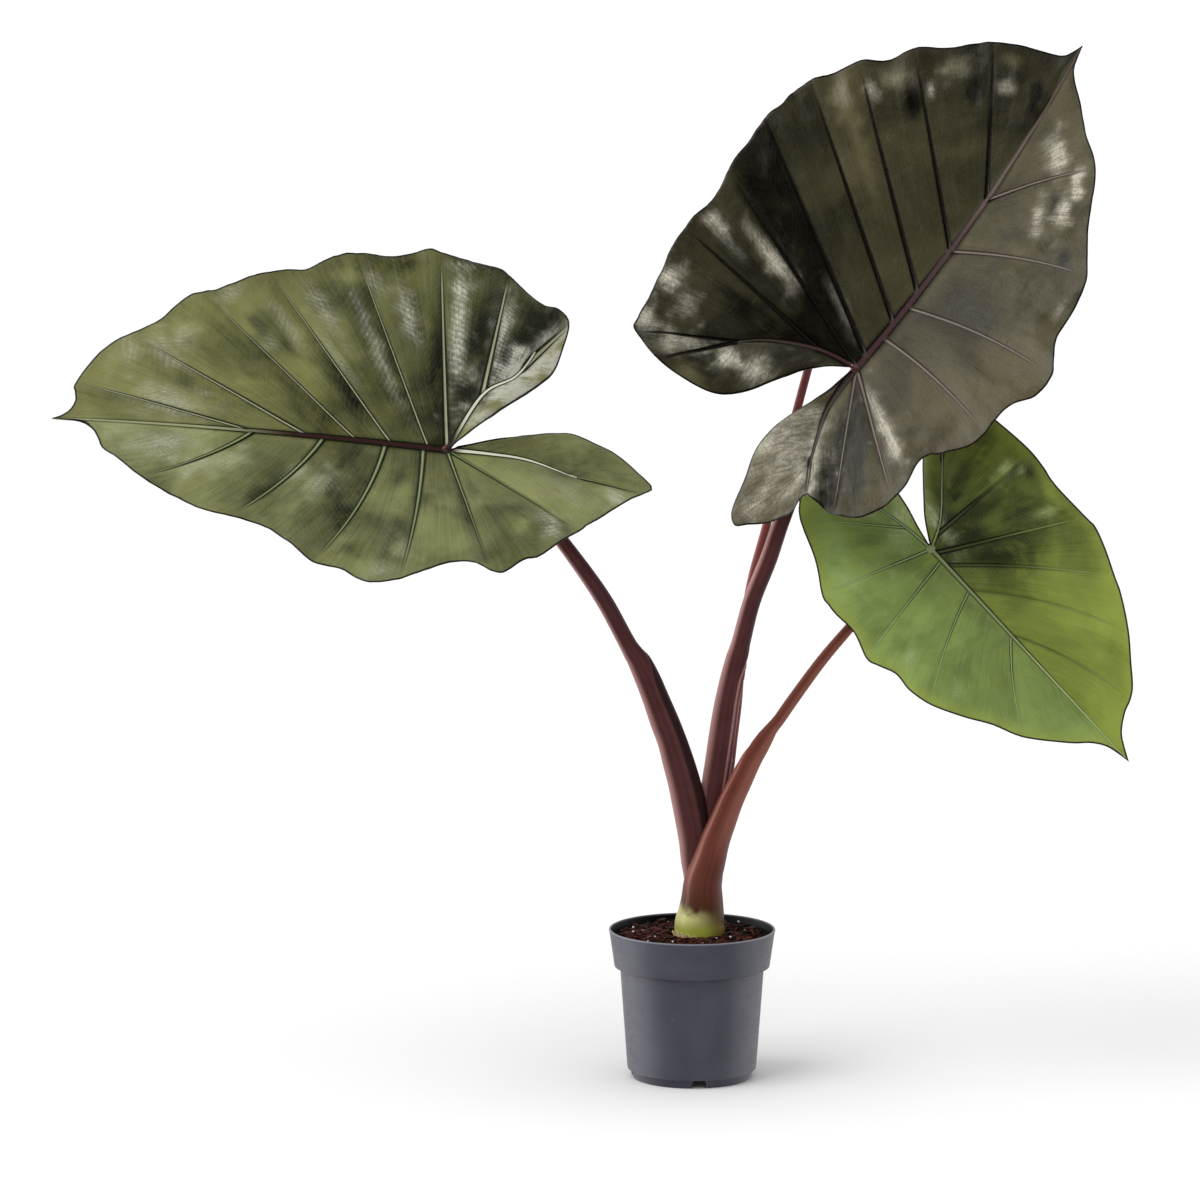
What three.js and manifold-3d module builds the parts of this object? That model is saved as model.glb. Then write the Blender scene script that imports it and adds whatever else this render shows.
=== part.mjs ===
import * as THREE from 'three';
import { mergeVertices } from 'three/addons/utils/BufferGeometryUtils.js';
import Module from 'manifold-3d';

const wasm = await Module();
wasm.setup();

// Millimetres, +Z up. The origin is the centre of the pot's underside.
// The front of the plant looks along -Y.

const GAP = 0.3;

// Nursery pot
const POT_HEIGHT = 153;
const POT_WALL = 2.2;
const FOOT_HEIGHT = 9;
const FOOT_RADIUS = 61.5;
const BODY_BOTTOM_RADIUS = 66;
const BODY_TOP_RADIUS = 73.5;
const BAND_BOTTOM = 115;
const BAND_BOTTOM_RADIUS = 79.5;
const RIM_RADIUS = 85;
const PAD_RADIUS = 38;
const NOTCH_HEIGHT = 8.4;
const NOTCH_BOTTOM_WIDTH = 17.5;
const NOTCH_TOP_WIDTH = 12;
const NOTCH_TURN = 6;
const DRAIN_RADIUS = 3.5;
const DRAIN_CIRCLE = 49;

// Soil
const SOIL_LEVEL = 145;
const SOIL_LUMP = 2.2;
const SOIL_RINGS = [72, 62, 52, 43, 36, 30];

// Leaf blades
const BLADE_THICKNESS = 1.1;
const RIB_DEPTH = 1.2;
const MIDRIB_DEPTH = 4.6;
const KNOB_RADIUS = 6.5;
const KNOB_DROP = 3.6;
const RINGS = [0.1, 0.28, 0.5, 0.72, 0.88, 1];

// Each half of a blade is listed from the sinus to the drip tip. A row is
// [where its line leaves the midrib, margin along, margin across, vein phase].
// A negative first value is a distance out along the rib of the lobe, and a whole phase is a lateral vein.
const LEFT_LEAF = {
  attach: [-247, -30, 645],
  tip: [-638, -60, 680],
  face: [0.115, -0.75, 0.651],
  bow: 3,
  droop: 10,
  foldWidth: 16,
  lobeFold: 0.4,
  lobeBack: 3,
  pleat: 5,
  wave: 3,
  columns: [4, 9, 16, 24, 37, 50, 62, 76, 90, 108, 124, 139, 165, 194, 240, 280, 310, 345],
  plus: {
    fold: 13,
    curve: -0.1,
    lobeRib: [[0, 0], [-40, 0], [-83, 3], [-131, 19]],
    rows: [
      [0, -10, -4, 0.1], [-25, -58, -20, 0.3], [-50, -105, -33, 0.5], [-75, -129, -35, 0.6],
      [-100, -154, -27, 0.72], [-130, -175, -18, 0.8], [-130, -208, 14, 0.95], [-130, -200, 27, 1],
      [-130, -188, 36, 1.1], [-100, -176, 47, 1.3], [-75, -164, 58, 1.5], [-50, -152, 71, 1.7],
      [-25, -142, 82, 1.85], [0, -133, 94, 2], [0, -98, 130, 2.4], [0, -78, 139, 2.6],
      [0, -59, 160, 2.9], [0, -46, 162, 3], [4, -22, 155, 3.3], [9, -3, 158, 3.5],
      [16, 18, 172, 3.75], [24, 44, 193, 4], [37, 72, 202, 4.35], [50, 97, 186, 4.7],
      [62, 129, 180, 5], [76, 154, 155, 5.3], [90, 168, 142, 5.5], [108, 189, 131, 5.8],
      [124, 212, 127, 6], [139, 232, 123, 6.2], [165, 263, 104, 6.6], [194, 302, 78, 7],
      [240, 338, 42, 7.35], [280, 347, 24, 7.5], [310, 354, 11, 7.65], [345, 366, 3.5, 7.8],
      [394, 394, 0, 8],
    ],
  },
  minus: {
    fold: 13,
    curve: 0,
    lobeRib: [[0, 0], [-32, -64], [-65, -89], [-84, -119]],
    rows: [
      [0, -6, -5.5, 0.1], [-25, -30, -28.5, 0.25], [-50, -56, -53, 0.4], [-72, -74, -69, 0.55],
      [-100, -92, -86, 0.7], [-130, -105, -103, 0.8], [-130, -113, -130, 0.9], [-130, -118, -157, 1],
      [-130, -110, -169, 1.15], [-100, -86, -178, 1.5], [-72, -53, -199, 2], [-50, -40, -204, 2.25],
      [-25, -10, -211, 2.7], [0, 18, -214, 3], [4, 34, -214, 3.3], [9, 65, -204, 3.6],
      [16, 96, -200, 3.9], [24, 124, -194, 4.25], [37, 150, -180, 4.55], [50, 178, -173, 4.85],
      [62, 206, -163, 5.2], [76, 231, -153, 5.6], [90, 256, -142, 6], [108, 274, -134, 6.3],
      [124, 296, -112, 6.6], [139, 325, -93, 7], [165, 353, -74, 7.5], [194, 374, -40, 8],
      [240, 374, -30, 8.3], [280, 373, -21, 8.5], [310, 377, -11, 8.7], [345, 385, -4, 8.85],
      [394, 394, 0, 9],
    ],
  },
};

const TOP_LEAF = {
  attach: [163, -20, 727],
  tip: [389.5, 20, 1048],
  face: [-0.292, -0.902, 0.319],
  bow: -16,
  droop: 14,
  foldWidth: 16,
  lobeFold: 0.4,
  lobeBack: 4,
  pleat: 6,
  wave: 4,
  columns: [6, 14, 26, 39, 56, 66, 77, 94, 110, 128, 147, 175, 209, 240, 275, 305, 335, 360],
  plus: {
    fold: 20,
    curve: 0,
    lobeRib: [[0, 0], [-6, 40], [-26, 83], [-46, 109]],
    rows: [
      [0, -4, 5, 0.1], [-20, -15, 22, 0.25], [-40, -30, 39, 0.4], [-60, -51, 56, 0.55],
      [-80, -74, 71, 0.65], [-100, -93, 87, 0.8], [-120, -103, 104, 0.87], [-120, -107, 131, 0.95],
      [-120, -106, 165, 1], [-120, -95, 201, 2], [-120, -83, 204, 2.1], [-100, -61, 205, 2.35],
      [-80, -34, 208, 2.6], [-60, -12, 210, 2.8], [-40, 17, 208, 3], [-20, 54, 201, 3.5],
      [0, 88, 202, 4], [6, 126, 202, 4.6], [14, 152, 200, 5], [26, 170, 195, 5.3],
      [39, 187, 194, 5.6], [56, 208, 185, 6], [66, 219, 177, 6.3], [94, 251, 159, 7],
      [110, 266, 141, 7.4], [147, 294, 124, 8], [175, 312, 102, 8.4], [190, 335, 82, 8.7],
      [209, 346, 68, 9], [240, 359, 46, 9.3], [275, 367, 26, 9.5], [305, 374, 10, 9.7],
      [335, 382, 4.5, 9.85], [394, 394, 0, 10],
    ],
  },
  minus: {
    fold: 20,
    curve: 0.08,
    lobeRib: [[0, 0], [-48, 1], [-84, -9], [-110, -19]],
    rows: [
      [0, -8, 3, 0.1], [-20, -37, 11, 0.2], [-40, -73, 27, 0.35], [-60, -96, 36, 0.45],
      [-80, -121, 39, 0.55], [-95, -146, 34, 0.63], [-110, -173, 29, 0.7], [-110, -191, 24, 0.75],
      [-110, -199, 14, 0.8], [-110, -191, 3, 0.84], [-110, -179, -14, 0.89], [-110, -166, -25, 0.93],
      [-110, -156, -32, 0.97], [-110, -143, -31, 0.99], [-110, -134, -34, 1], [-95, -134, -41, 1.2],
      [-80, -134, -48, 1.4], [-60, -135, -54, 1.6], [-40, -136, -59, 1.75], [-20, -136, -64, 1.9],
      [0, -135, -69, 2], [0, -132, -80, 2.2], [0, -123, -98, 2.5], [0, -103, -115, 2.8],
      [0, -92, -121, 3], [0, -72, -126, 3.15], [0, -48, -123, 3.35], [6, -36, -128, 3.45],
      [14, -28, -139, 3.55], [26, -6, -163, 3.85], [39, 10, -170, 4], [47, 27, -172, 4.2],
      [56, 48, -177, 4.4], [66, 67, -192, 4.65], [77, 91, -197, 5], [90, 106, -189, 5.15],
      [104, 127, -176, 5.4], [124, 164, -172, 5.7], [147, 193, -165, 6], [175, 237, -131, 6.5],
      [209, 290, -100, 7], [240, 318, -64, 7.35], [275, 344, -35, 7.6], [305, 357, -19, 7.75],
      [335, 368, -9, 7.85], [360, 378, -5, 7.95], [394, 394, 0, 8],
    ],
  },
};

const RIGHT_LEAF = {
  attach: [241, 5, 542],
  tip: [435, -70, 336],
  face: [-0.16, -0.966, 0.201],
  bow: 0,
  droop: 10,
  foldWidth: 16,
  lobeFold: 0.7,
  lobeBack: 4,
  pleat: 3,
  wave: 3.5,
  columns: [3, 6, 11, 16, 23, 34, 46, 58, 70, 85, 102, 120, 150, 190, 235, 265],
  plus: {
    fold: 24,
    curve: -0.1,
    lobeRib: [[0, 0], [-14, 26], [-41, 54], [-62, 74]],
    rows: [
      [0, -7, 3.5, 0.1], [-15, -27, 16, 0.25], [-30, -44, 30, 0.4], [-50, -58, 42, 0.55],
      [-70, -71, 54, 0.65], [-95, -86, 70, 0.8], [-95, -94, 90, 0.9], [-95, -95, 109, 1],
      [-95, -88, 123, 1.15], [-70, -74, 132, 1.3], [-50, -50, 135, 1.5], [-30, -20, 138, 1.8],
      [-15, 5, 139, 2], [0, 26, 137, 2.3], [3, 44, 134, 2.5], [6, 90, 134, 3],
      [11, 104, 134, 3.25], [16, 125, 127, 3.6], [23, 152, 115, 4], [34, 170, 107, 4.3],
      [58, 202, 87, 5], [85, 225, 68, 5.5], [102, 242, 54, 5.8], [120, 250, 43, 6],
      [150, 255, 31, 6.3], [190, 264, 18, 6.6], [235, 273, 10.5, 6.8], [293, 293, 0, 7],
    ],
  },
  minus: {
    fold: 24,
    curve: -0.08,
    lobeRib: [[0, 0], [-33, -4], [-70, -12], [-100, -22]],
    rows: [
      [0, -9, 2.5, 0.1], [-15, -26, 6, 0.25], [-33, -50, 12, 0.45], [-55, -75, 15, 0.65],
      [-80, -100, 14, 0.85], [-100, -125, 9, 1], [-100, -145, -8, 1.2], [-100, -149, -34, 1.5],
      [-80, -141, -50, 1.75], [-55, -128, -64, 1.9], [-33, -112, -77, 2], [-15, -71, -93, 2.5],
      [0, -36, -112, 3], [3, -24, -114, 3.15], [6, -11, -115, 3.3], [11, 15, -114, 3.6],
      [16, 44, -122, 4], [23, 58, -118, 4.2], [34, 75, -111, 4.5], [46, 96, -112, 4.75],
      [58, 122, -106, 5], [85, 151, -91, 5.4], [102, 176, -75, 5.7], [120, 207, -60, 6],
      [150, 240, -31, 6.4], [190, 253, -16, 6.65], [235, 265, -7, 6.85], [265, 277, -3, 6.95],
      [293, 293, 0, 7],
    ],
  },
};

// Stalks, from the base up. A row is [x, y, z, half width, half depth] of the stalk and its sheath.
const LEFT_STALK = [
  [5, 2, 158, 8, 7.5], [5, 3, 176, 10, 8.5], [5, 3, 202, 13, 9.5], [4, 3, 223, 15.5, 10],
  [3, 2, 244, 16.8, 10], [0, 2, 265, 17.5, 10], [-4, 1, 285, 17.3, 10], [-9, 0, 306, 16.6, 9.6],
  [-15, 0, 327, 16, 9.3], [-21, -1, 347, 15, 9.1], [-29, -2, 368, 14.7, 9], [-37, -3, 389, 13.6, 9],
  [-45, -4, 409, 13, 8.9], [-54, -5, 428, 11.8, 8.8], [-61, -5, 438, 9.9, 8.7], [-68, -5, 450, 8.8, 8.6],
  [-90, -7, 491, 8.5, 8.4], [-118, -8, 532, 7.6, 7.6], [-149, -7, 571, 6.8, 6.8],
  [-182, -5, 600, 6.1, 6.1], [-212, -6, 623, 5.5, 5.5], [-234, -14, 635, 5, 5],
  [-246.5, -26.5, 643, 4.7, 4.7],
];
// The open side of a sheath: [x, y, z, half width, half depth] of the hollow.
const LEFT_SHEATH = [
  [26, 12, 285, 8, 6], [14, 9, 306, 10, 6.2], [6, 8.5, 327, 10.5, 6.2], [-2, 7, 347, 10, 6],
  [-11, 5.5, 368, 9.5, 5.6], [-21, 4, 389, 8.5, 5.2], [-31, 2.5, 409, 7.8, 4.8], [-43, 0.5, 428, 6, 4],
  [-51, -1, 438, 3, 2.4], [-57, -3, 446, 0.8, 0.8],
];
const TOP_STALK = [
  [16, 10, 158, 7, 7], [16, 10, 176, 8.5, 8], [17, 9.5, 201, 10.5, 9], [18, 9, 222, 11.8, 9.6],
  [18.5, 8.5, 243, 13, 10], [19, 8, 264, 14, 10], [22, 8, 284, 14.6, 10], [25, 8, 305, 15, 10],
  [28, 8, 325, 15, 10], [31, 8, 346, 15, 10], [34, 8, 367, 14.8, 10], [37, 7, 387, 14.1, 9.8],
  [41, 6, 408, 13.4, 9.4], [45, 5, 429, 11.8, 9.2], [47.5, 4.5, 440, 10.4, 9], [50, 4, 451, 9.5, 8.9],
  [60, 2, 490, 9, 8.8], [76, 2, 531, 8.9, 8.7], [89, 4, 569, 8.4, 8.4], [106, 8, 612, 8, 8],
  [126, 10, 652, 7.6, 7.6], [145, 7, 689, 6.9, 6.9], [156.5, -3, 711, 6.2, 6.2],
  [162, -15.5, 723.5, 5.6, 5.6],
];
const TOP_SHEATH = [
  [29, 9, 222, 7, 6], [32, 9.5, 243, 7.6, 6.6], [35, 10, 264, 8, 7.2], [38, 10, 284, 8.6, 7.8],
  [41, 10, 305, 8.6, 8], [44, 10, 325, 8.6, 8.2], [46, 10, 346, 8.4, 8.2], [49, 9.5, 367, 8.4, 8.2],
  [51, 8.5, 387, 8.4, 8], [54, 8, 408, 8, 7.4], [56, 7.5, 429, 6.4, 5.8], [57.5, 6.5, 440, 3.4, 3.2],
  [59, 5, 449, 0.8, 0.8],
];
const NEW_STALK = [
  [24, 4, 158, 3.6, 3.6], [25, 6, 176, 3.8, 3.8], [27, 8, 201, 4, 4], [29, 9, 222, 4.2, 4.2],
  [31, 11, 250, 4.5, 4.5], [33.5, 13, 283, 4.6, 4.6], [38, 14, 313, 4.6, 4.6], [42, 14, 350, 4.6, 4.6],
  [46, 14.5, 384, 4.6, 4.6], [49, 15.5, 427, 4.6, 4.6], [53, 18, 468, 4.5, 4.5], [61, 21, 512, 4.5, 4.5],
  [74, 24, 560, 4.4, 4.4], [87, 27, 610, 4.4, 4.4], [99, 28, 656, 4.4, 4.4], [111, 28, 702, 4.3, 4.3],
  [119, 28, 732, 4.1, 4.1], [126.2, 28, 759.5, 3.8, 3.8],
];
const RIGHT_STALK = [
  [7.5, 0, 141, 24.5, 22.5], [7.5, 0, 149, 25.6, 23.6], [7.5, 0, 158, 25.3, 23.4], [9, 0, 168, 23.8, 22.2],
  [10, -1, 182, 21.6, 20.5], [11, -3, 203, 19.2, 18.6], [17, -5, 224, 17, 16.5], [23, -7, 245, 15.2, 14.6],
  [31, -9, 266, 13.8, 12.6], [39, -11, 287, 12.8, 11.2], [49, -12, 308, 11.8, 10.2], [59, -12, 329, 11, 9.4],
  [66, -12, 340, 10, 8.6], [73, -12, 351, 8.6, 7.6], [80, -12, 361, 6.6, 6.6], [88, -12, 371, 6.1, 6.1],
  [101, -12, 390, 6, 6], [131, -10, 431, 5.6, 5.6], [164, -4, 469, 5.2, 5.2], [184, 1, 491, 5.1, 5.1],
  [207, 8, 513, 4.9, 4.9], [226, 13, 529, 4.6, 4.6], [240.3, 9.6, 540.6, 4.4, 4.4],
];
const RIGHT_SHEATH = [
  [24, -7, 287, 7.5, 5.8], [36, -8, 308, 7.5, 5.8], [49, -9, 329, 6.2, 5], [57, -9.5, 340, 5, 4.2],
  [66, -10, 352, 3, 2.6], [73, -11, 361, 0.8, 0.8],
];
const STALK_SIDES = 16;
const SHEATH_SIDES = 12;

// The unopened leaf is a rolled spear on the newest stalk.
const SPEAR = [
  [126.2, 28, 759, 4, 4], [128, 28, 766, 5.2, 5.2], [131, 28, 780, 6.4, 6], [136, 29, 804, 7.2, 6.4],
  [142, 31, 832, 7, 6.2], [148, 33, 862, 6, 5.4], [153, 35, 890, 4.7, 4.2], [157, 37, 914, 3.3, 3],
  [160, 38, 934, 2, 2], [162, 39, 947, 1.1, 1.1],
];

const CORM = [
  [0, 92], [9, 93.5], [17, 99], [21, 108], [22, 118], [20.5, 129], [17, 137], [14, 141 - GAP], [0, 141 - GAP],
];
const CORM_CENTRE = [7.5, 0];

// A torn strip that follows the oval foot of the right stalk.
const PAPERY_SCRAP = {
  from: 196,
  to: 266,
  low: SOIL_LEVEL + GAP,
  high: 153.5,
  thickness: 0.9,
  width: 25.95,
  depth: 23.95,
  flare: 1.4,
  steps: 14,
};

const LOOKS = {
  pot: { color: 0x4d4d57, roughness: 0.55 },
  soil: { color: 0x2c1a15, roughness: 0.95 },
  corm: { color: 0x6d5236, roughness: 0.85 },
  papery_scrap: { color: 0xcdc48c, roughness: 0.8 },
  stalk_left: { color: 0x3f2528, roughness: 0.45 },
  stalk_top: { color: 0x47282c, roughness: 0.45 },
  stalk_new: { color: 0x8e4f50, roughness: 0.45 },
  stalk_right: { color: 0x6f3a38, roughness: 0.45 },
  blade_left: { color: 0x4a5033, roughness: 0.3 },
  blade_top: { color: 0x2b2922, roughness: 0.28 },
  blade_right: { color: 0x5f7a33, roughness: 0.4 },
  blade_new: { color: 0x6b7040, roughness: 0.4 },
};

function vector(values) {
  return new THREE.Vector3(values[0], values[1], values[2]);
}

function geometryFrom(points, triangles) {
  const geometry = new THREE.BufferGeometry();
  const flat = points.flatMap((point) => [point.x, point.y, point.z]);
  geometry.setAttribute('position', new THREE.Float32BufferAttribute(flat, 3));
  geometry.setIndex(triangles.flat());
  return geometry;
}

function solid(source) {
  const geometry = source.clone();
  geometry.deleteAttribute('normal');
  geometry.deleteAttribute('uv');
  const merged = mergeVertices(geometry, 1e-4);
  return new wasm.Manifold(new wasm.Mesh({
    numProp: 3,
    vertProperties: new Float32Array(merged.attributes.position.array),
    triVerts: new Uint32Array(merged.index.array),
  }));
}

function largestBody(shape) {
  const bodies = shape.decompose();
  bodies.sort((first, second) => second.volume() - first.volume());
  return bodies[0];
}

function named(name, shape) {
  const mesh = largestBody(shape).getMesh();
  const geometry = new THREE.BufferGeometry();
  geometry.setAttribute('position', new THREE.BufferAttribute(new Float32Array(mesh.vertProperties), 3));
  geometry.setIndex(new THREE.BufferAttribute(new Uint32Array(mesh.triVerts), 1));
  geometry.computeVertexNormals();
  const body = new THREE.Mesh(geometry, new THREE.MeshStandardMaterial(LOOKS[name]));
  body.name = name;
  return body;
}

function spin(profile, segments) {
  const geometry = new THREE.LatheGeometry(profile.map(([r, z]) => new THREE.Vector2(r, z)), segments);
  geometry.rotateX(Math.PI / 2);
  return geometry;
}

// A tube of changing oval section along a row list. The rim grows by the given clearance.
function tube(rows, sides, grow = 0) {
  const centres = rows.map(vector);
  const points = [];
  centres.forEach((centre, i) => {
    const ahead = centres[Math.min(i + 1, centres.length - 1)];
    const behind = centres[Math.max(i - 1, 0)];
    const along = ahead.clone().sub(behind).normalize();
    const deep = new THREE.Vector3(0, 1, 0).addScaledVector(along, -along.y).normalize();
    const wide = deep.clone().cross(along);
    const end = i === 0 ? -grow : i === centres.length - 1 ? grow : 0;
    for (let k = 0; k < sides; k += 1) {
      const angle = 2 * Math.PI * k / sides;
      points.push(centre.clone()
        .addScaledVector(wide, (rows[i][3] + grow) * Math.cos(angle))
        .addScaledVector(deep, (rows[i][4] + grow) * Math.sin(angle))
        .addScaledVector(along, end));
    }
  });
  const triangles = [];
  for (let i = 0; i + 1 < rows.length; i += 1) {
    for (let k = 0; k < sides; k += 1) {
      const a = i * sides + k;
      const b = i * sides + (k + 1) % sides;
      triangles.push([a, b, b + sides], [a, b + sides, a + sides]);
    }
  }
  const last = (rows.length - 1) * sides;
  for (let k = 1; k + 1 < sides; k += 1) {
    triangles.push([0, k + 1, k], [last, last + k, last + k + 1]);
  }
  return solid(geometryFrom(points, triangles));
}

function ball(centre, radius) {
  const geometry = new THREE.IcosahedronGeometry(radius, 2);
  geometry.translate(centre.x, centre.y, centre.z);
  return solid(geometry);
}

// A smooth curve through the margin points, at row number q.
function marginAt(rows, q) {
  const i = Math.min(Math.floor(q), rows.length - 2);
  const f = q - i;
  const before = rows[Math.max(i - 1, 0)];
  const here = rows[i];
  const next = rows[i + 1];
  const after = rows[Math.min(i + 2, rows.length - 1)];
  const smooth = (k) => 0.5 * (2 * here[k] + (next[k] - before[k]) * f
    + (2 * before[k] - 5 * here[k] + 4 * next[k] - after[k]) * f * f
    + (3 * here[k] - before[k] - 3 * next[k] + after[k]) * f * f * f);
  return {
    root: here[0] + (next[0] - here[0]) * f,
    along: smooth(1),
    across: smooth(2),
    phase: here[3] + (next[3] - here[3]) * f,
  };
}

function rowOfRoot(rows, root) {
  let i = rows.length - 2;
  while (i > 0 && rows[i][0] > root) i -= 1;
  return i + (root - rows[i][0]) / (rows[i + 1][0] - rows[i][0]);
}

function bladeFrame(leaf) {
  const attach = vector(leaf.attach);
  const tip = vector(leaf.tip);
  const along = tip.clone().sub(attach);
  const length = along.length();
  along.normalize();
  const face = vector(leaf.face);
  const up = face.clone().addScaledVector(along, -face.dot(along)).normalize();
  const across = up.clone().cross(along);
  return { attach, along, across, up, length };
}

function spineAcross(leaf, length, a) {
  const q = THREE.MathUtils.clamp(a / length, 0, 1);
  return leaf.bow * 4 * q * (1 - q);
}

// Where a line leaves the midrib, or the rib of the lobe for a negative distance.
function rootPoint(leaf, half, length, root) {
  if (root >= 0) return { a: root, b: spineAcross(leaf, length, root) };
  let rest = -root;
  for (let i = 0; i + 1 < half.lobeRib.length; i += 1) {
    const [here, next] = [half.lobeRib[i], half.lobeRib[i + 1]];
    const step = Math.hypot(next[0] - here[0], next[1] - here[1]);
    if (rest <= step || i + 2 === half.lobeRib.length) {
      const f = Math.min(rest / step, 1);
      return { a: here[0] + (next[0] - here[0]) * f, b: here[1] + (next[1] - here[1]) * f };
    }
    rest -= step;
  }
  return { a: 0, b: 0 };
}

// Height of the upper face: a rounded fold along the midrib, a drooping midrib, lobes that fall back,
// panels arched between the veins, and a waved margin.
function bladeHeight(leaf, half, length, a, b, t, phase) {
  const off = b - spineAcross(leaf, length, a);
  const lobe = THREE.MathUtils.clamp(-a / 150, 0, 1);
  const q = THREE.MathUtils.clamp(a / length, 0, 1);
  const back = THREE.MathUtils.clamp(-a / 100, 0, 3);
  const slope = Math.tan(half.fold * Math.PI / 180) * (1 - leaf.lobeFold * lobe);
  const fold = slope * (Math.hypot(off, leaf.foldWidth) - leaf.foldWidth);
  const puff = Math.abs(Math.sin(Math.PI * phase)) ** 0.7;
  const arch = leaf.pleat * puff * (1 - (1 - t) ** 2) * (1 - 0.7 * t ** 3);
  const wave = leaf.wave * t ** 4 * Math.sin(2 * Math.PI * phase + 0.8);
  const taper = 1 - THREE.MathUtils.smoothstep(a, 0.75 * length, length);
  return fold + 4 * leaf.droop * q * (1 - q) - leaf.lobeBack * back * back + (arch + wave) * taper;
}

function bladePoint(leaf, half, frame, q, t) {
  const row = marginAt(half.rows, q);
  const start = rootPoint(leaf, half, frame.length, row.root);
  const da = row.along - start.a;
  const db = row.across - start.b;
  const bend = half.curve * THREE.MathUtils.smoothstep(row.root, 0, 50) * half.side * 2 * t * (1 - t);
  return { a: start.a + da * t + bend * db, b: start.b + db * t - bend * da, phase: row.phase };
}

function bladeVertex(leaf, half, frame, a, b, t, phase) {
  return frame.attach.clone()
    .addScaledVector(frame.along, a)
    .addScaledVector(frame.across, b)
    .addScaledVector(frame.up, bladeHeight(leaf, half, frame.length, a, b, t, phase));
}

function bladeDepth(leaf, frame, a, t, phase) {
  const reach = 1 - THREE.MathUtils.clamp(Math.max(a, 0) / frame.length, 0, 1);
  const vein = Math.max(0, 1 - 6 * Math.abs(phase - Math.round(phase))) * (Math.round(phase) > 0 ? 1 : 0);
  return BLADE_THICKNESS + RIB_DEPTH * vein * (1 - t) + (t === 0 ? MIDRIB_DEPTH * (0.25 + 0.75 * reach) : 0);
}

// One waved sheet with its two faces split alike, so they stay a full thickness apart.
function bladeSheet(leaf, grow = 0) {
  const frame = bladeFrame(leaf);
  const halves = [{ ...leaf.plus, side: 1 }, { ...leaf.minus, side: -1 }];
  const top = [];
  const bottom = [];
  const addPoint = (half, a, b, t, phase) => {
    const point = bladeVertex(leaf, half, frame, a, b, t, phase);
    top.push(point.clone().addScaledVector(frame.up, grow));
    bottom.push(point.clone().addScaledVector(frame.up, -bladeDepth(leaf, frame, a, t, phase) - grow));
    return top.length - 1;
  };
  const addRoot = (half, root) => {
    const { a, b } = rootPoint(leaf, half, frame.length, root);
    return addPoint(half, a, b, 0, 0);
  };
  const spine = new Map([0, ...leaf.columns].map((root) => [root, addRoot(halves[0], root)]));
  const tip = addPoint(halves[0], frame.length, 0, 0, 0);
  const faces = [];
  halves.forEach((half) => {
    const lobe = half.rows.map((row) => row[0]).filter((root) => root <= 0);
    const roots = new Map(spine);
    lobe.filter((root) => !roots.has(root)).forEach((root) => roots.set(root, addRoot(half, root)));
    const stations = [
      ...lobe.map((root, i) => ({ q: i, spine: roots.get(root) })),
      ...leaf.columns.map((root) => ({ q: rowOfRoot(half.rows, root), spine: roots.get(root) })),
    ];
    const grid = stations.map((station) => {
      const line = RINGS.map((t) => {
        const { a, b, phase } = bladePoint(leaf, half, frame, station.q, t);
        return addPoint(half, a, b, t, phase);
      });
      return [station.spine, ...line];
    });
    const turn = (triangle) => (half.side > 0 ? triangle : [triangle[0], triangle[2], triangle[1]]);
    for (let i = 0; i + 1 < grid.length; i += 1) {
      for (let k = 0; k < RINGS.length; k += 1) {
        const [p, r, s, v] = [grid[i][k], grid[i + 1][k], grid[i + 1][k + 1], grid[i][k + 1]];
        if (p !== r) faces.push(turn([p, r, s]));
        faces.push(turn([p, s, v]));
      }
    }
    const lastLine = grid[grid.length - 1];
    for (let k = 0; k < RINGS.length; k += 1) faces.push(turn([lastLine[k], tip, lastLine[k + 1]]));
    half.grid = grid;
  });
  const count = top.length;
  const triangles = faces.flatMap(([p, r, s]) => [[p, r, s], [p + count, s + count, r + count]]);
  const [plus, minus] = halves.map((half) => half.grid);
  const rim = [
    ...plus[0], ...plus.slice(1).map((line) => line[RINGS.length]), tip,
    ...minus.slice(1).reverse().map((line) => line[RINGS.length]), ...minus[0].slice(1).reverse(),
  ];
  rim.forEach((p, i) => {
    const r = rim[(i + 1) % rim.length];
    triangles.push([p, r, r + count], [p, r + count, p + count]);
  });
  return solid(geometryFrom([...top, ...bottom], triangles));
}

function knob(leaf, grow = 0) {
  const frame = bladeFrame(leaf);
  return ball(frame.attach.clone().addScaledVector(frame.up, -KNOB_DROP), KNOB_RADIUS + grow);
}

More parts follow.
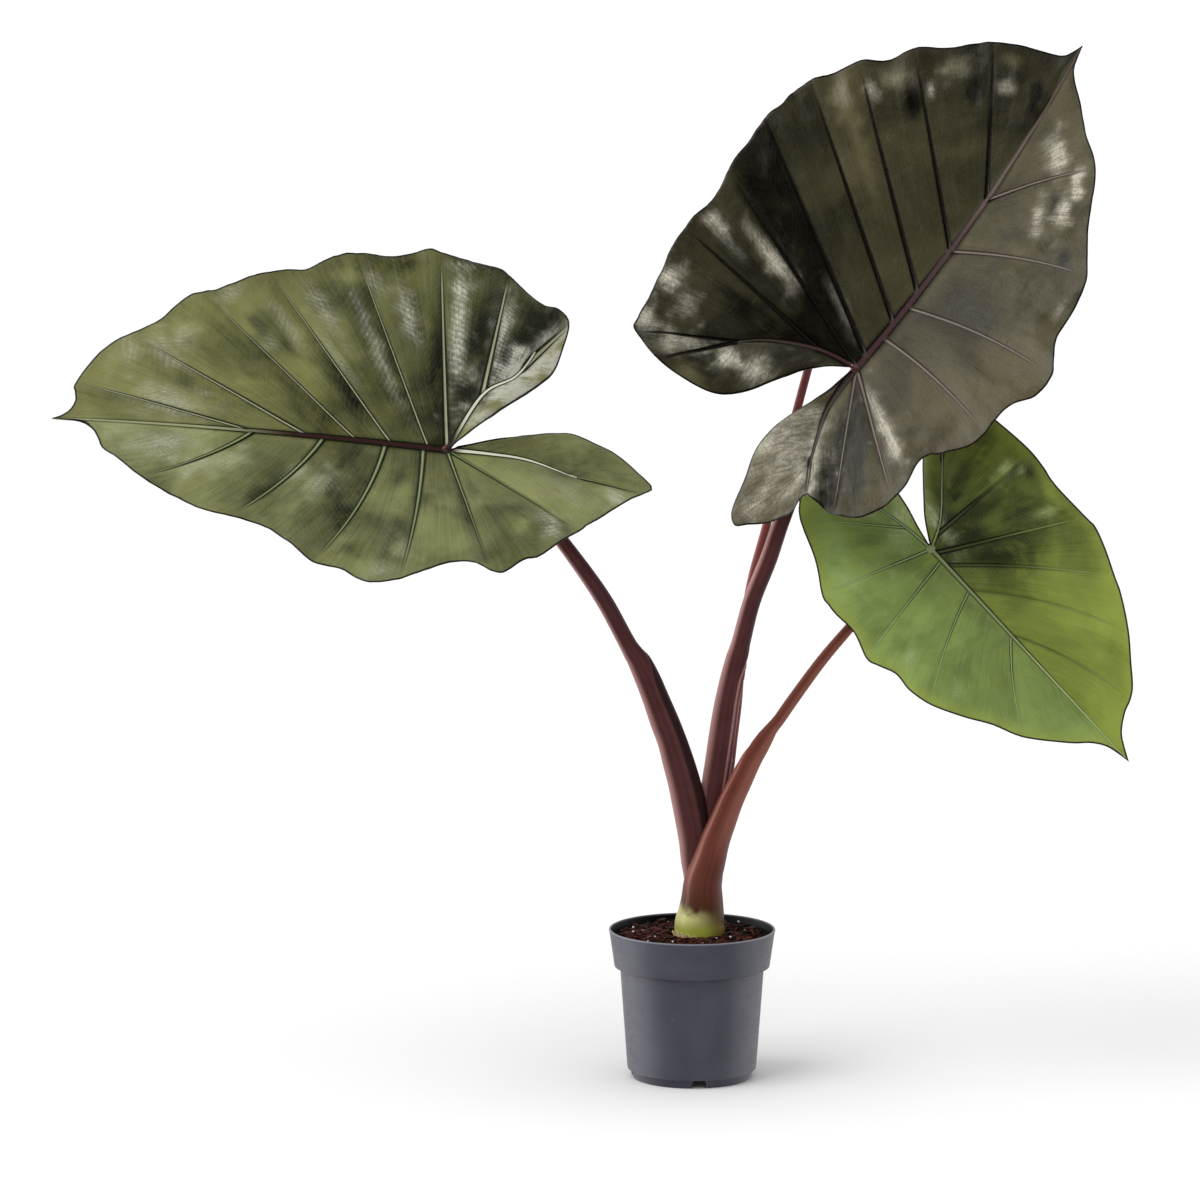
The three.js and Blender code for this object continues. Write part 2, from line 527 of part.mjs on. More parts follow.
function potShape() {
  const floor = FOOT_HEIGHT + POT_WALL;
  const profile = [
    [0, 0], [PAD_RADIUS, 0], [PAD_RADIUS + 1.5, FOOT_HEIGHT], [FOOT_RADIUS - 3, FOOT_HEIGHT],
    [FOOT_RADIUS - 3, 0.8], [FOOT_RADIUS - 2.4, 0], [FOOT_RADIUS - 0.6, 0], [FOOT_RADIUS, 0.8],
    [FOOT_RADIUS + 1.2, FOOT_HEIGHT - 1],
    [BODY_BOTTOM_RADIUS - 0.6, FOOT_HEIGHT - 0.4], [BODY_BOTTOM_RADIUS, FOOT_HEIGHT + 0.6],
    [BODY_BOTTOM_RADIUS - 0.3, FOOT_HEIGHT + 1.6], [BODY_TOP_RADIUS, BAND_BOTTOM - 1.4],
    [BAND_BOTTOM_RADIUS - 1, BAND_BOTTOM - 0.6], [BAND_BOTTOM_RADIUS, BAND_BOTTOM + 0.6],
    [RIM_RADIUS - 0.6, POT_HEIGHT - 2.4], [RIM_RADIUS, POT_HEIGHT - 1.4], [RIM_RADIUS - 0.4, POT_HEIGHT - 0.3],
    [RIM_RADIUS - 1.2, POT_HEIGHT], [RIM_RADIUS - 2, POT_HEIGHT - 0.3],
    [RIM_RADIUS - 2.6, POT_HEIGHT - 1.6], [BAND_BOTTOM_RADIUS - POT_WALL, BAND_BOTTOM + POT_WALL],
    [BODY_TOP_RADIUS - POT_WALL, BAND_BOTTOM],
    [BODY_BOTTOM_RADIUS - POT_WALL, floor + 1], [BODY_BOTTOM_RADIUS - POT_WALL - 1, floor],
    [PAD_RADIUS - 0.6, floor], [PAD_RADIUS - 2, POT_WALL], [0, POT_WALL],
  ];
  let pot = solid(spin(profile, 48));
  for (let k = 0; k < 4; k += 1) {
    const turn = THREE.MathUtils.degToRad(-90 + NOTCH_TURN + 90 * k);
    pot = pot.subtract(notch(turn));
    pot = pot.subtract(drainHole(turn));
  }
  return pot;
}

function notch(turn) {
  const outline = new THREE.Shape();
  outline.moveTo(-NOTCH_BOTTOM_WIDTH / 2, -2);
  outline.lineTo(NOTCH_BOTTOM_WIDTH / 2, -2);
  outline.lineTo(NOTCH_TOP_WIDTH / 2, NOTCH_HEIGHT);
  outline.lineTo(-NOTCH_TOP_WIDTH / 2, NOTCH_HEIGHT);
  outline.closePath();
  const geometry = new THREE.ExtrudeGeometry(outline, { depth: 20, bevelEnabled: false });
  geometry.rotateX(Math.PI / 2);
  geometry.translate(0, FOOT_RADIUS + 10, 0);
  geometry.rotateZ(turn - Math.PI / 2);
  return solid(geometry);
}

function drainHole(turn) {
  const geometry = new THREE.CylinderGeometry(DRAIN_RADIUS, DRAIN_RADIUS, 10, 12);
  geometry.rotateX(Math.PI / 2);
  geometry.translate(DRAIN_CIRCLE * Math.cos(turn), DRAIN_CIRCLE * Math.sin(turn), FOOT_HEIGHT + 1);
  return solid(geometry);
}

// Lumpy top, flat underside, and sides that follow the inside of the pot.
function soilShape() {
  const wall = POT_WALL + GAP;
  const floor = FOOT_HEIGHT + POT_WALL + GAP;
  const sideTop = BAND_BOTTOM_RADIUS - wall + (RIM_RADIUS - BAND_BOTTOM_RADIUS - 0.6)
    * (SOIL_LEVEL - BAND_BOTTOM - POT_WALL) / (POT_HEIGHT - BAND_BOTTOM - POT_WALL);
  const profile = [
    [0, POT_WALL + GAP], [PAD_RADIUS - 2 - GAP, POT_WALL + GAP], [PAD_RADIUS - 0.6 - GAP, floor],
    [BODY_BOTTOM_RADIUS - wall - 1.2, floor], [BODY_BOTTOM_RADIUS - wall, floor + 1.4],
    [BODY_TOP_RADIUS - wall, BAND_BOTTOM + GAP],
    [BAND_BOTTOM_RADIUS - wall - 0.2, BAND_BOTTOM + POT_WALL + GAP],
    [sideTop - 0.3, SOIL_LEVEL], ...SOIL_RINGS.map((radius) => [radius, SOIL_LEVEL]), [0, SOIL_LEVEL],
  ];
  const geometry = spin(profile, 32);
  geometry.deleteAttribute('normal');
  geometry.deleteAttribute('uv');
  const merged = mergeVertices(geometry, 1e-4);
  const place = merged.attributes.position;
  for (let i = 0; i < place.count; i += 1) {
    const radius = Math.hypot(place.getX(i), place.getY(i));
    const flat = radius < SOIL_RINGS[SOIL_RINGS.length - 1] + 1 || radius > SOIL_RINGS[0] + 1;
    if (flat || place.getZ(i) < SOIL_LEVEL - 0.01) continue;
    const roll = Math.sin(place.getX(i) * 0.31 + 1.7) * Math.cos(place.getY(i) * 0.27 - 0.4);
    const crumb = Math.sin(place.getX(i) * 0.83 + place.getY(i) * 0.71);
    place.setZ(i, SOIL_LEVEL + SOIL_LUMP * (0.6 * roll + 0.4 * crumb));
  }
  return solid(merged);
}

function cormShape(grow = 0) {
  const last = CORM.length - 1;
  const profile = CORM.map(([r, z], i) => {
    const end = i < 2 ? -grow : i > last - 2 ? grow : 0;
    return [r === 0 ? 0 : r + grow, z + end];
  });
  const geometry = spin(profile, 24);
  geometry.translate(CORM_CENTRE[0], CORM_CENTRE[1], 0);
  return solid(geometry);
}

// A torn strip of dead sheath that stands against the lower left of the base.
function paperyScrap() {
  const { from, to, low, high, thickness, width, depth, flare, steps } = PAPERY_SCRAP;
  const points = [];
  for (let i = 0; i <= steps; i += 1) {
    const angle = THREE.MathUtils.degToRad(from + (to - from) * i / steps);
    const tear = 1.2 * Math.sin(i * 2.1) - 8 * Math.abs(i / steps - 0.3);
    [low, high + tear].forEach((z, end) => {
      [0, thickness].forEach((skin) => {
        const out = flare * end + skin;
        const x = CORM_CENTRE[0] + (width + out) * Math.cos(angle);
        const y = CORM_CENTRE[1] + (depth + out) * Math.sin(angle);
        points.push(new THREE.Vector3(x, y, z));
      });
    });
  }
  const triangles = [];
  const quad = (a, b, c, d) => triangles.push([a, b, c], [a, c, d]);
  for (let i = 0; i < steps; i += 1) {
    const [a, b] = [4 * i, 4 * (i + 1)];
    quad(a, b, b + 1, a + 1);
    quad(a + 1, b + 1, b + 3, a + 3);
    quad(a + 3, b + 3, b + 2, a + 2);
    quad(a + 2, b + 2, b, a);
  }
  quad(0, 1, 3, 2);
  const last = 4 * steps;
  quad(last, last + 2, last + 3, last + 1);
  return solid(geometryFrom(points, triangles));
}

// Each younger stalk stands inside the sheath of an older one: the right stalk wraps the base of the rest.
function assemble() {
  const left = tube(LEFT_STALK, STALK_SIDES);
  const leftClear = tube(LEFT_STALK, STALK_SIDES, GAP);
  const topClear = tube(TOP_STALK, STALK_SIDES, GAP);
  const newClear = tube(NEW_STALK, SHEATH_SIDES, GAP);
  const rightClear = tube(RIGHT_STALK, STALK_SIDES, GAP);
  const shapes = {
    pot: potShape(),
    soil: soilShape().subtract(cormShape(GAP)).subtract(rightClear),
    corm: cormShape(),
    papery_scrap: paperyScrap(),
    stalk_left: left.subtract(tube(LEFT_SHEATH, SHEATH_SIDES)).subtract(knob(LEFT_LEAF, GAP))
      .subtract(bladeSheet(LEFT_LEAF, GAP)),
    stalk_top: tube(TOP_STALK, STALK_SIDES).subtract(tube(TOP_SHEATH, SHEATH_SIDES))
      .subtract(leftClear).subtract(newClear).subtract(knob(TOP_LEAF, GAP)).subtract(bladeSheet(TOP_LEAF, GAP)),
    stalk_new: tube(NEW_STALK, SHEATH_SIDES).subtract(leftClear).subtract(tube(SPEAR, SHEATH_SIDES, GAP)),
    stalk_right: tube(RIGHT_STALK, STALK_SIDES).subtract(tube(RIGHT_SHEATH, SHEATH_SIDES))
      .subtract(leftClear).subtract(topClear).subtract(newClear).subtract(knob(RIGHT_LEAF, GAP))
      .subtract(bladeSheet(RIGHT_LEAF, GAP)),
    blade_left: bladeSheet(LEFT_LEAF).add(knob(LEFT_LEAF)),
    blade_top: bladeSheet(TOP_LEAF).add(knob(TOP_LEAF)),
    blade_right: bladeSheet(RIGHT_LEAF).add(knob(RIGHT_LEAF)),
    blade_new: tube(SPEAR, SHEATH_SIDES),
  };
  const group = new THREE.Group();
  group.name = 'potted_metalhead_alocasia';
  Object.entries(shapes).forEach(([name, shape]) => group.add(named(name, shape)));
  return group;
}

export default assemble();
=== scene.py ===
import math
import random

import bmesh
import bpy
from mathutils import Matrix, Vector, noise


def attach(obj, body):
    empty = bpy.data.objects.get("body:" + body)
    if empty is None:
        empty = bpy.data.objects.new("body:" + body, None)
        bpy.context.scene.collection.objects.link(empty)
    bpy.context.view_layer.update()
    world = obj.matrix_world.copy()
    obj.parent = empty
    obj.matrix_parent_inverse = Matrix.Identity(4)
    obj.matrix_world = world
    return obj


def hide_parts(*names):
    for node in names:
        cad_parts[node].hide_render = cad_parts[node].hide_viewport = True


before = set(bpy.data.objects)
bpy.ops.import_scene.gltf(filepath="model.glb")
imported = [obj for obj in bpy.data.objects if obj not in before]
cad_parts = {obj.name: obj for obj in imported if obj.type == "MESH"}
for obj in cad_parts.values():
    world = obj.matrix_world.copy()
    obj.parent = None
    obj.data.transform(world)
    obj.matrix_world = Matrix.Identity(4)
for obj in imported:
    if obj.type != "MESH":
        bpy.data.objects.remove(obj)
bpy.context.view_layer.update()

# Metres, +Z up. The sizes of leaves, stalks, pot and soil are in millimetres, as in the part's source.
MM = 0.001
# Corners closer than this, in metres, become one
WELD = 0.00001
ROD_WELD = 0.00002
BLADE_WELD = 0.00003

# Camera
CAMERA_PLACE = (-0.094, -4.5, 1.039)
CAMERA_PITCH = 6.95
CAMERA_LENS = 134.43
SENSOR_WIDTH = 36

# Light: a soft key, the white room that lights the plant, and the backdrop that the camera sees
KEY_DIRECTION = (-0.55, -0.27, 0.79)
KEY_STRENGTH = 1.6
KEY_ANGLE = 50
ROOM_STRENGTH = 0.78
BACKDROP_STRENGTH = 1.1
FLOOR_HALF = 60
# Glows that the skins mirror: direction, the cosines where a glow begins and is full, its least and its most
UPPER_GLOW = ((-0.75, 0.1, 0.65), 0.7, 1.0, 0.02, 0.8)
LEFT_GLOW = ((-0.93, 0.2, 0.33), 0.7, 1.0, 0.0, 0.5)
ABOVE_FLOOR = ((0, 0, 1), 0.0, 0.35, 0.1, 1.0)
BACK_GLOW = ((0, 1, 0), 0.1, 0.7, 0.0, 0.8)
LAMP_GLOW = ((-0.3, -0.72, 0.62), 0.955, 0.985, 0.0, 1.5)
LOW_LEFT_GLOW = ((-1, 0.1, -0.1), 0.75, 1.0, 0.0, 1.7)
LOW_RIGHT_GLOW = ((1, 0.1, -0.1), 0.8, 1.0, 0.0, 1.2)

# Fineness of the blades: columns along the margin, and rings from rib to margin, the first at fixed
# distances
COLUMN_STEP = 5.5
LEAST_COLUMN = 2.2
VEIN_COLUMNS = (-3.6, -1.5, 0, 1.5, 3.6)
RINGS = 54
NEAR_RINGS = (0, 1, 2, 3, 4, 5.5)
RING_CROWDING = 0.25
LOBE_RIB_STEPS = 8
# Steps in row numbers for the length and the direction of the margin, and along a line for its own direction
LENGTH_STEP = 0.01
MARGIN_STEP = 0.05
SPOT_STEP = 0.05
VEIN_STEP = 0.02
# How far along a vein its points still count as beside the same ring of a neighbouring line
VEIN_REACH = 9

# Blade thickness, and how deep the ribs and veins stand out below
BLADE_THICKNESS = 1.1
MARGIN_THICKNESS = 0.75
THIN_FROM = 0.8
MIDRIB_DEPTH = 4.4
MIDRIB_BREADTH = 1.2
VEIN_DEPTH = 1.8
VEIN_BREADTH = 2.2
RIDGE_BREADTH = 1.1
KNOB_RADIUS = 6.5
KNOB_DROP = 3.6
KNOB_FLATNESS = 0.12

# Half widths of the drawn ribs and veins at their thick and thin ends
MIDRIB_HALF = 3.4
MIDRIB_TIP_HALF = 0.9
LOBE_RIB_HALF = 2.3
LOBE_RIB_TIP_HALF = 0.9
VEIN_HALF = 1.3
VEIN_TIP_HALF = 0.5

# Broad form of the blades: distances from the joint where lines bend, the lobes' fold eases and the lobes
# drop, the distance along a line where a vein's lift is full, and the share of the length where all fades
BEND_FROM = 50
LOBE_FOLD_REACH = 150
LOBE_DROP_REACH = 100
LIFT_REACH = 110
FORM_TAPER = 0.75
RELIEF_TAPER = 0.85
ARCH_SHAPE = 0.7
WAVE_SHIFT = 0.8

# Fine form: crinkles by size, ripples by how many there are in a panel and along a line, and the part of
# the finer ones. A pucker's or a mark's length, width, outer limit and fall-off are in its own radii.
CRINKLE_SIZE = 26
FINE_CRINKLE_SIZE = 11
FINE_CRINKLE = 0.45
RIPPLES = (4.2, 1.7)
FINE_RIPPLES = (9, 4)
FINE_RIPPLE = 0.5
PUCKER_LENGTH = 1.7
PUCKER_WIDTH = 0.8
PUCKER_LIMIT = 2.5
PUCKER_FALL = 1.6
MARK_LIMIT = 2.2
MARK_FALL = 1.2
MARK_UNEVEN = ((14, 0.6), (6, 0.25))

# What a blade's material reads from its corners, besides the flow of the fine veins
LEAF_LAYERS = ("lateral", "rib", "spine", "edge", "under", "tone", "painted_sheen", "depth")
# A distance that stands for no vein or margin near, the most that a material is told, and the shift that
# keeps the phases of the two halves apart
NOWHERE = 99.0
FAR = 12.0
SIDE_PHASE = 20
# What a leaf's material reads on its joint
KNOB_SKIN = {"lateral": FAR, "rib": 0.6, "spine": 0.0, "edge": NOWHERE, "under": 0.0, "tone": 0.5}

# A leaf's own axes run from attach, the joint with the stalk, to tip, the drip tip, and face is where its
# upper side looks. A blade has two halves, plus and minus, each made of lines that run from the midrib or
# from the rib of the lobe to the margin. A line's phase counts the lateral veins from the sinus round to
# the tip, so whole phases are veins, and t goes from 0 at the rib to 1 at the margin. The keys of a leaf:
#   seed, crinkle, ripple        the fine form's noise and its heights
#   rib_width, midrib_relief     breadth and height of the drawn ribs
#   bow, droop                   how far the midrib bends sideways and down
#   fold_width, lobe_fold        how round the fold at the midrib is, and how much of it the lobes lose
#   lobe_back, pleat, wave       drop of the lobes, arch between veins, height of the margin's waves
# The keys of a half:
#   fold                         slope beside the midrib, in degrees
#   panels                       for each panel between veins, tone at the rib, tone at the margin, arch; the
#                                tones are partly the leaf's own colour and partly painted reflection and
#                                shade
#   lift                         for each vein, how far its outer end rises
#   vein_relief                  height of the veins on the upper side
#   puckers                      phase, t, width and height of a bump or a dent
#   patches, painted_highlights  phase, t, half length, half width and strength of an area of lighter or
#   darker
#                                tone, partly painted light and shade, and of a painted highlight
#   skew                         how the tone differs across a panel: painted shade on one side, painted light
#                                on the other
#   thick                        for each vein, its relative breadth
#   curve                        how far the lines bend
#   lobe_rib                     points of the lobe's rib, along the leaf and across it
#   rows                         for each line, its root along the midrib (negative: along the lobe's rib),
#                                the margin's place along and across, and the phase

LEFT_LEAF = {
    "seed": 3,
    "rib_width": 1.0,
    "crinkle": 2.2,
    "ripple": 2.0,
    "midrib_relief": 0.5,
    "attach": [-247, -30, 645],
    "tip": [-638, -60, 680],
    "face": [0.115, -0.75, 0.651],
    "bow": 3,
    "droop": 10,
    "fold_width": 16,
    "lobe_fold": 0.4,
    "lobe_back": 3,
    "pleat": 5,
    "wave": 3,
    "plus": {
        "fold": 13,
        "panels": [
            [0.4, 0.6, 0.8], [0.5, 0.8, 1], [0.6, 0.5, 1.2], [0.3, 0.7, 1.5], [0.2, 0.7, 1.4],
            [0.25, 0.45, 1.2], [0.5, 0.55, 1], [0.75, 0.85, 0.6],
        ],
        "lift": [2, -2, 2, -1, 1, -1, 0, 0, 0],
        "vein_relief": 2.0,
        "puckers": [
            [4.3, 0.6, 14, 3], [4.6, 0.6, 14, -3], [2.7, 0.5, 14, 3], [2.3, 0.8, 12, 3],
            [1.9, 0.65, 12, 3.5], [5.5, 0.75, 14, 3], [0.9, 0.5, 14, 2.5], [1.3, 0.8, 12, -3],
        ],
        "patches": [
            [6.05, 0.66, 24, 10, -0.3], [6.75, 0.42, 22, 12, 0.3], [5.6, 0.47, 24, 12, 0.35],
            [5, 0.6, 18, 16, -0.3], [4.35, 0.34, 26, 9, 0.4], [5.5, 0.22, 24, 8, -0.2],
            [3.35, 0.45, 14, 10, 0.25], [7.6, 0.45, 20, 14, 0.25], [3.9, 0.4, 26, 8, -0.25],
            [2.4, 0.75, 14, 9, 0.3], [1.2, 0.75, 18, 10, 0.3], [2.75, 0.3, 30, 7, -0.25],
            [5.96, 0.37, 16, 10, 0.3], [4.79, 0.85, 12, 12, -0.35], [4.52, 0.25, 16, 10, -0.35],
            [4.12, 0.75, 14, 12, 0.35], [6.97, 0.53, 18, 9, 0.2],
        ],
        "painted_highlights": [
            [6.75, 0.42, 22, 12, 0.25], [5.6, 0.47, 24, 12, 0.28], [7.6, 0.45, 20, 14, 0.25],
            [1.2, 0.85, 14, 10, 0.55], [2.2, 0.9, 10, 10, 0.4], [4.3, 0.92, 10, 12, 0.25],
            [2.08, 0.82, 14, 9, 0.4], [4.12, 0.75, 12, 10, 0.25], [1.6, 0.6, 40, 14, 0.16],
            [7.3, 0.5, 40, 20, 0.4], [6.9, 0.6, 24, 12, 0.35], [5.96, 0.4, 16, 9, 0.3],
        ],
        "skew": 0.3,
        "thick": [0.7, 0.8, 0.9, 1.3, 1.3, 1.3, 1.2],
        "curve": -0.1,
        "lobe_rib": [[0, 0], [-40, 0], [-83, 3], [-131, 19]],
        "rows": [
            [0, -10, -4, 0.1], [-25, -58, -20, 0.3], [-50, -105, -33, 0.5], [-75, -129, -35, 0.6],
            [-100, -154, -27, 0.72], [-130, -175, -18, 0.8], [-130, -208, 14, 0.95], [-130, -200, 27, 1],
            [-130, -188, 36, 1.1], [-100, -176, 47, 1.3], [-75, -164, 58, 1.5], [-50, -152, 71, 1.7],
            [-25, -142, 82, 1.85], [0, -133, 94, 2], [0, -98, 130, 2.4], [0, -78, 139, 2.6],
            [0, -59, 160, 2.9], [0, -46, 162, 3], [4, -22, 155, 3.3], [9, -3, 158, 3.5],
            [16, 18, 172, 3.75], [24, 44, 193, 4], [37, 72, 202, 4.35], [50, 97, 186, 4.7],
            [62, 129, 180, 5], [76, 154, 155, 5.3], [90, 168, 142, 5.5], [108, 189, 131, 5.8],
            [124, 212, 127, 6], [139, 232, 123, 6.2], [165, 263, 104, 6.6], [194, 302, 78, 7],
            [240, 338, 42, 7.35], [280, 347, 24, 7.5], [310, 354, 11, 7.65], [345, 366, 3.5, 7.8],
            [394, 394, 0, 8],
        ],
    },
    "minus": {
        "fold": 13,
        "panels": [
            [0.2, 1.6, 1], [0.05, 0.1, 1.6], [0.05, 0.15, 1.8], [0.08, 0.4, 1.5], [0.25, 0.5, 1],
            [0.35, 0.6, 0.9], [0.35, 0.8, 0.9], [0.55, 0.85, 0.7], [0.6, 0.7, 0.5],
        ],
        "lift": [8, -4, 0, -3, 0, 0, 0, 0, 0, 0],
        "vein_relief": -0.8,
        "puckers": [
            [2.6, 0.68, 13, 4.5], [2.3, 0.85, 10, 3], [1.7, 0.7, 12, 3.5], [1.4, 0.85, 10, -3],
            [3.6, 0.8, 12, 3], [3.3, 0.6, 10, 2.5], [5.6, 0.73, 14, 3.5], [5.2, 0.85, 10, 2.5],
            [4.6, 0.87, 13, 3], [6.5, 0.8, 14, 3], [6.6, 0.6, 12, -2.5], [7.7, 0.6, 14, 2],
        ],
        "patches": [
            [2.4, 0.45, 40, 9, -0.3], [1.3, 0.3, 34, 8, -0.4], [3.2, 0.4, 44, 8, -0.3],
            [5.9, 0.75, 12, 9, 0.4], [5.6, 0.45, 16, 7, 0.3], [5.75, 0.76, 14, 5, -0.3],
            [5.6, 0.58, 14, 5, -0.25], [7.45, 0.5, 34, 7, -0.25], [6.45, 0.82, 16, 10, 0.3],
            [5.24, 0.66, 20, 10, 0.25], [3.5, 0.95, 8, 14, -0.2], [5.1, 0.3, 36, 8, -0.2],
            [6.2, 0.35, 36, 7, -0.2], [4.2, 0.9, 10, 10, 0.2],
            [4.1, 0.34, 16, 8, 0.2], [4.23, 0.87, 10, 10, 0.3], [6.58, 0.89, 10, 12, 0.25],
            [6.7, 0.47, 14, 8, 0.2], [6.45, 0.2, 14, 7, -0.25],
        ],
        "painted_highlights": [
            [2.8, 0.55, 46, 8, 0.8], [2.75, 0.84, 16, 11, 0.5], [1.88, 0.55, 34, 8, 0.75],
            [3.6, 0.68, 26, 9, 0.5], [4.28, 0.5, 60, 6, 0.35], [4.7, 0.75, 30, 8, 0.35],
            [5.7, 0.95, 8, 12, 0.35], [0.85, 0.5, 40, 12, 0.9], [0.6, 0.7, 30, 22, 0.9],
            [7.3, 0.9, 12, 16, 0.3], [7.05, 0.73, 25, 6, 0.25], [5.8, 0.63, 9, 8, 0.25],
            [1.97, 0.2, 16, 5, 0.7], [6.6, 0.85, 12, 12, 0.22], [5.3, 0.7, 26, 7, 0.25],
            [7.9, 0.5, 20, 8, 0.2], [4.9, 0.5, 34, 5, 0.25], [3.9, 0.85, 12, 9, 0.3],
            [0.82, 0.15, 20, 13, 0.95], [0.53, 0.85, 16, 14, 0.95], [1, 0.6, 26, 9, 0.9],
            [0.3, 0.9, 22, 14, 0.9], [7.9, 0.5, 40, 16, 0.35], [6.9, 0.85, 16, 14, 0.3],
        ],
        "skew": 0.4,
        "thick": [1.7, 1.5, 1.4, 0.7, 0.7, 0.6, 0.8, 0.7],
        "curve": 0,
        "lobe_rib": [[0, 0], [-32, -64], [-65, -89], [-84, -119]],
        "rows": [
            [0, -6, -5.5, 0.1], [-25, -30, -28.5, 0.25], [-50, -56, -53, 0.4], [-72, -74, -69, 0.55],
            [-100, -92, -86, 0.7], [-130, -105, -103, 0.8], [-130, -113, -130, 0.9], [-130, -118, -157, 1],
            [-130, -110, -169, 1.15], [-100, -86, -178, 1.5], [-72, -53, -199, 2], [-50, -40, -204, 2.25],
            [-25, -10, -211, 2.7], [0, 18, -214, 3], [4, 34, -214, 3.3], [9, 65, -204, 3.6],
            [16, 96, -200, 3.9], [24, 124, -194, 4.25], [37, 150, -180, 4.55], [50, 178, -173, 4.85],
            [62, 206, -163, 5.2], [76, 231, -153, 5.6], [90, 256, -142, 6], [108, 274, -134, 6.3],
            [124, 296, -112, 6.6], [139, 325, -93, 7], [165, 353, -74, 7.5], [194, 374, -40, 8],
            [240, 374, -30, 8.3], [280, 373, -21, 8.5], [310, 377, -11, 8.7], [345, 385, -4, 8.85],
            [394, 394, 0, 9],
        ],
    },
}

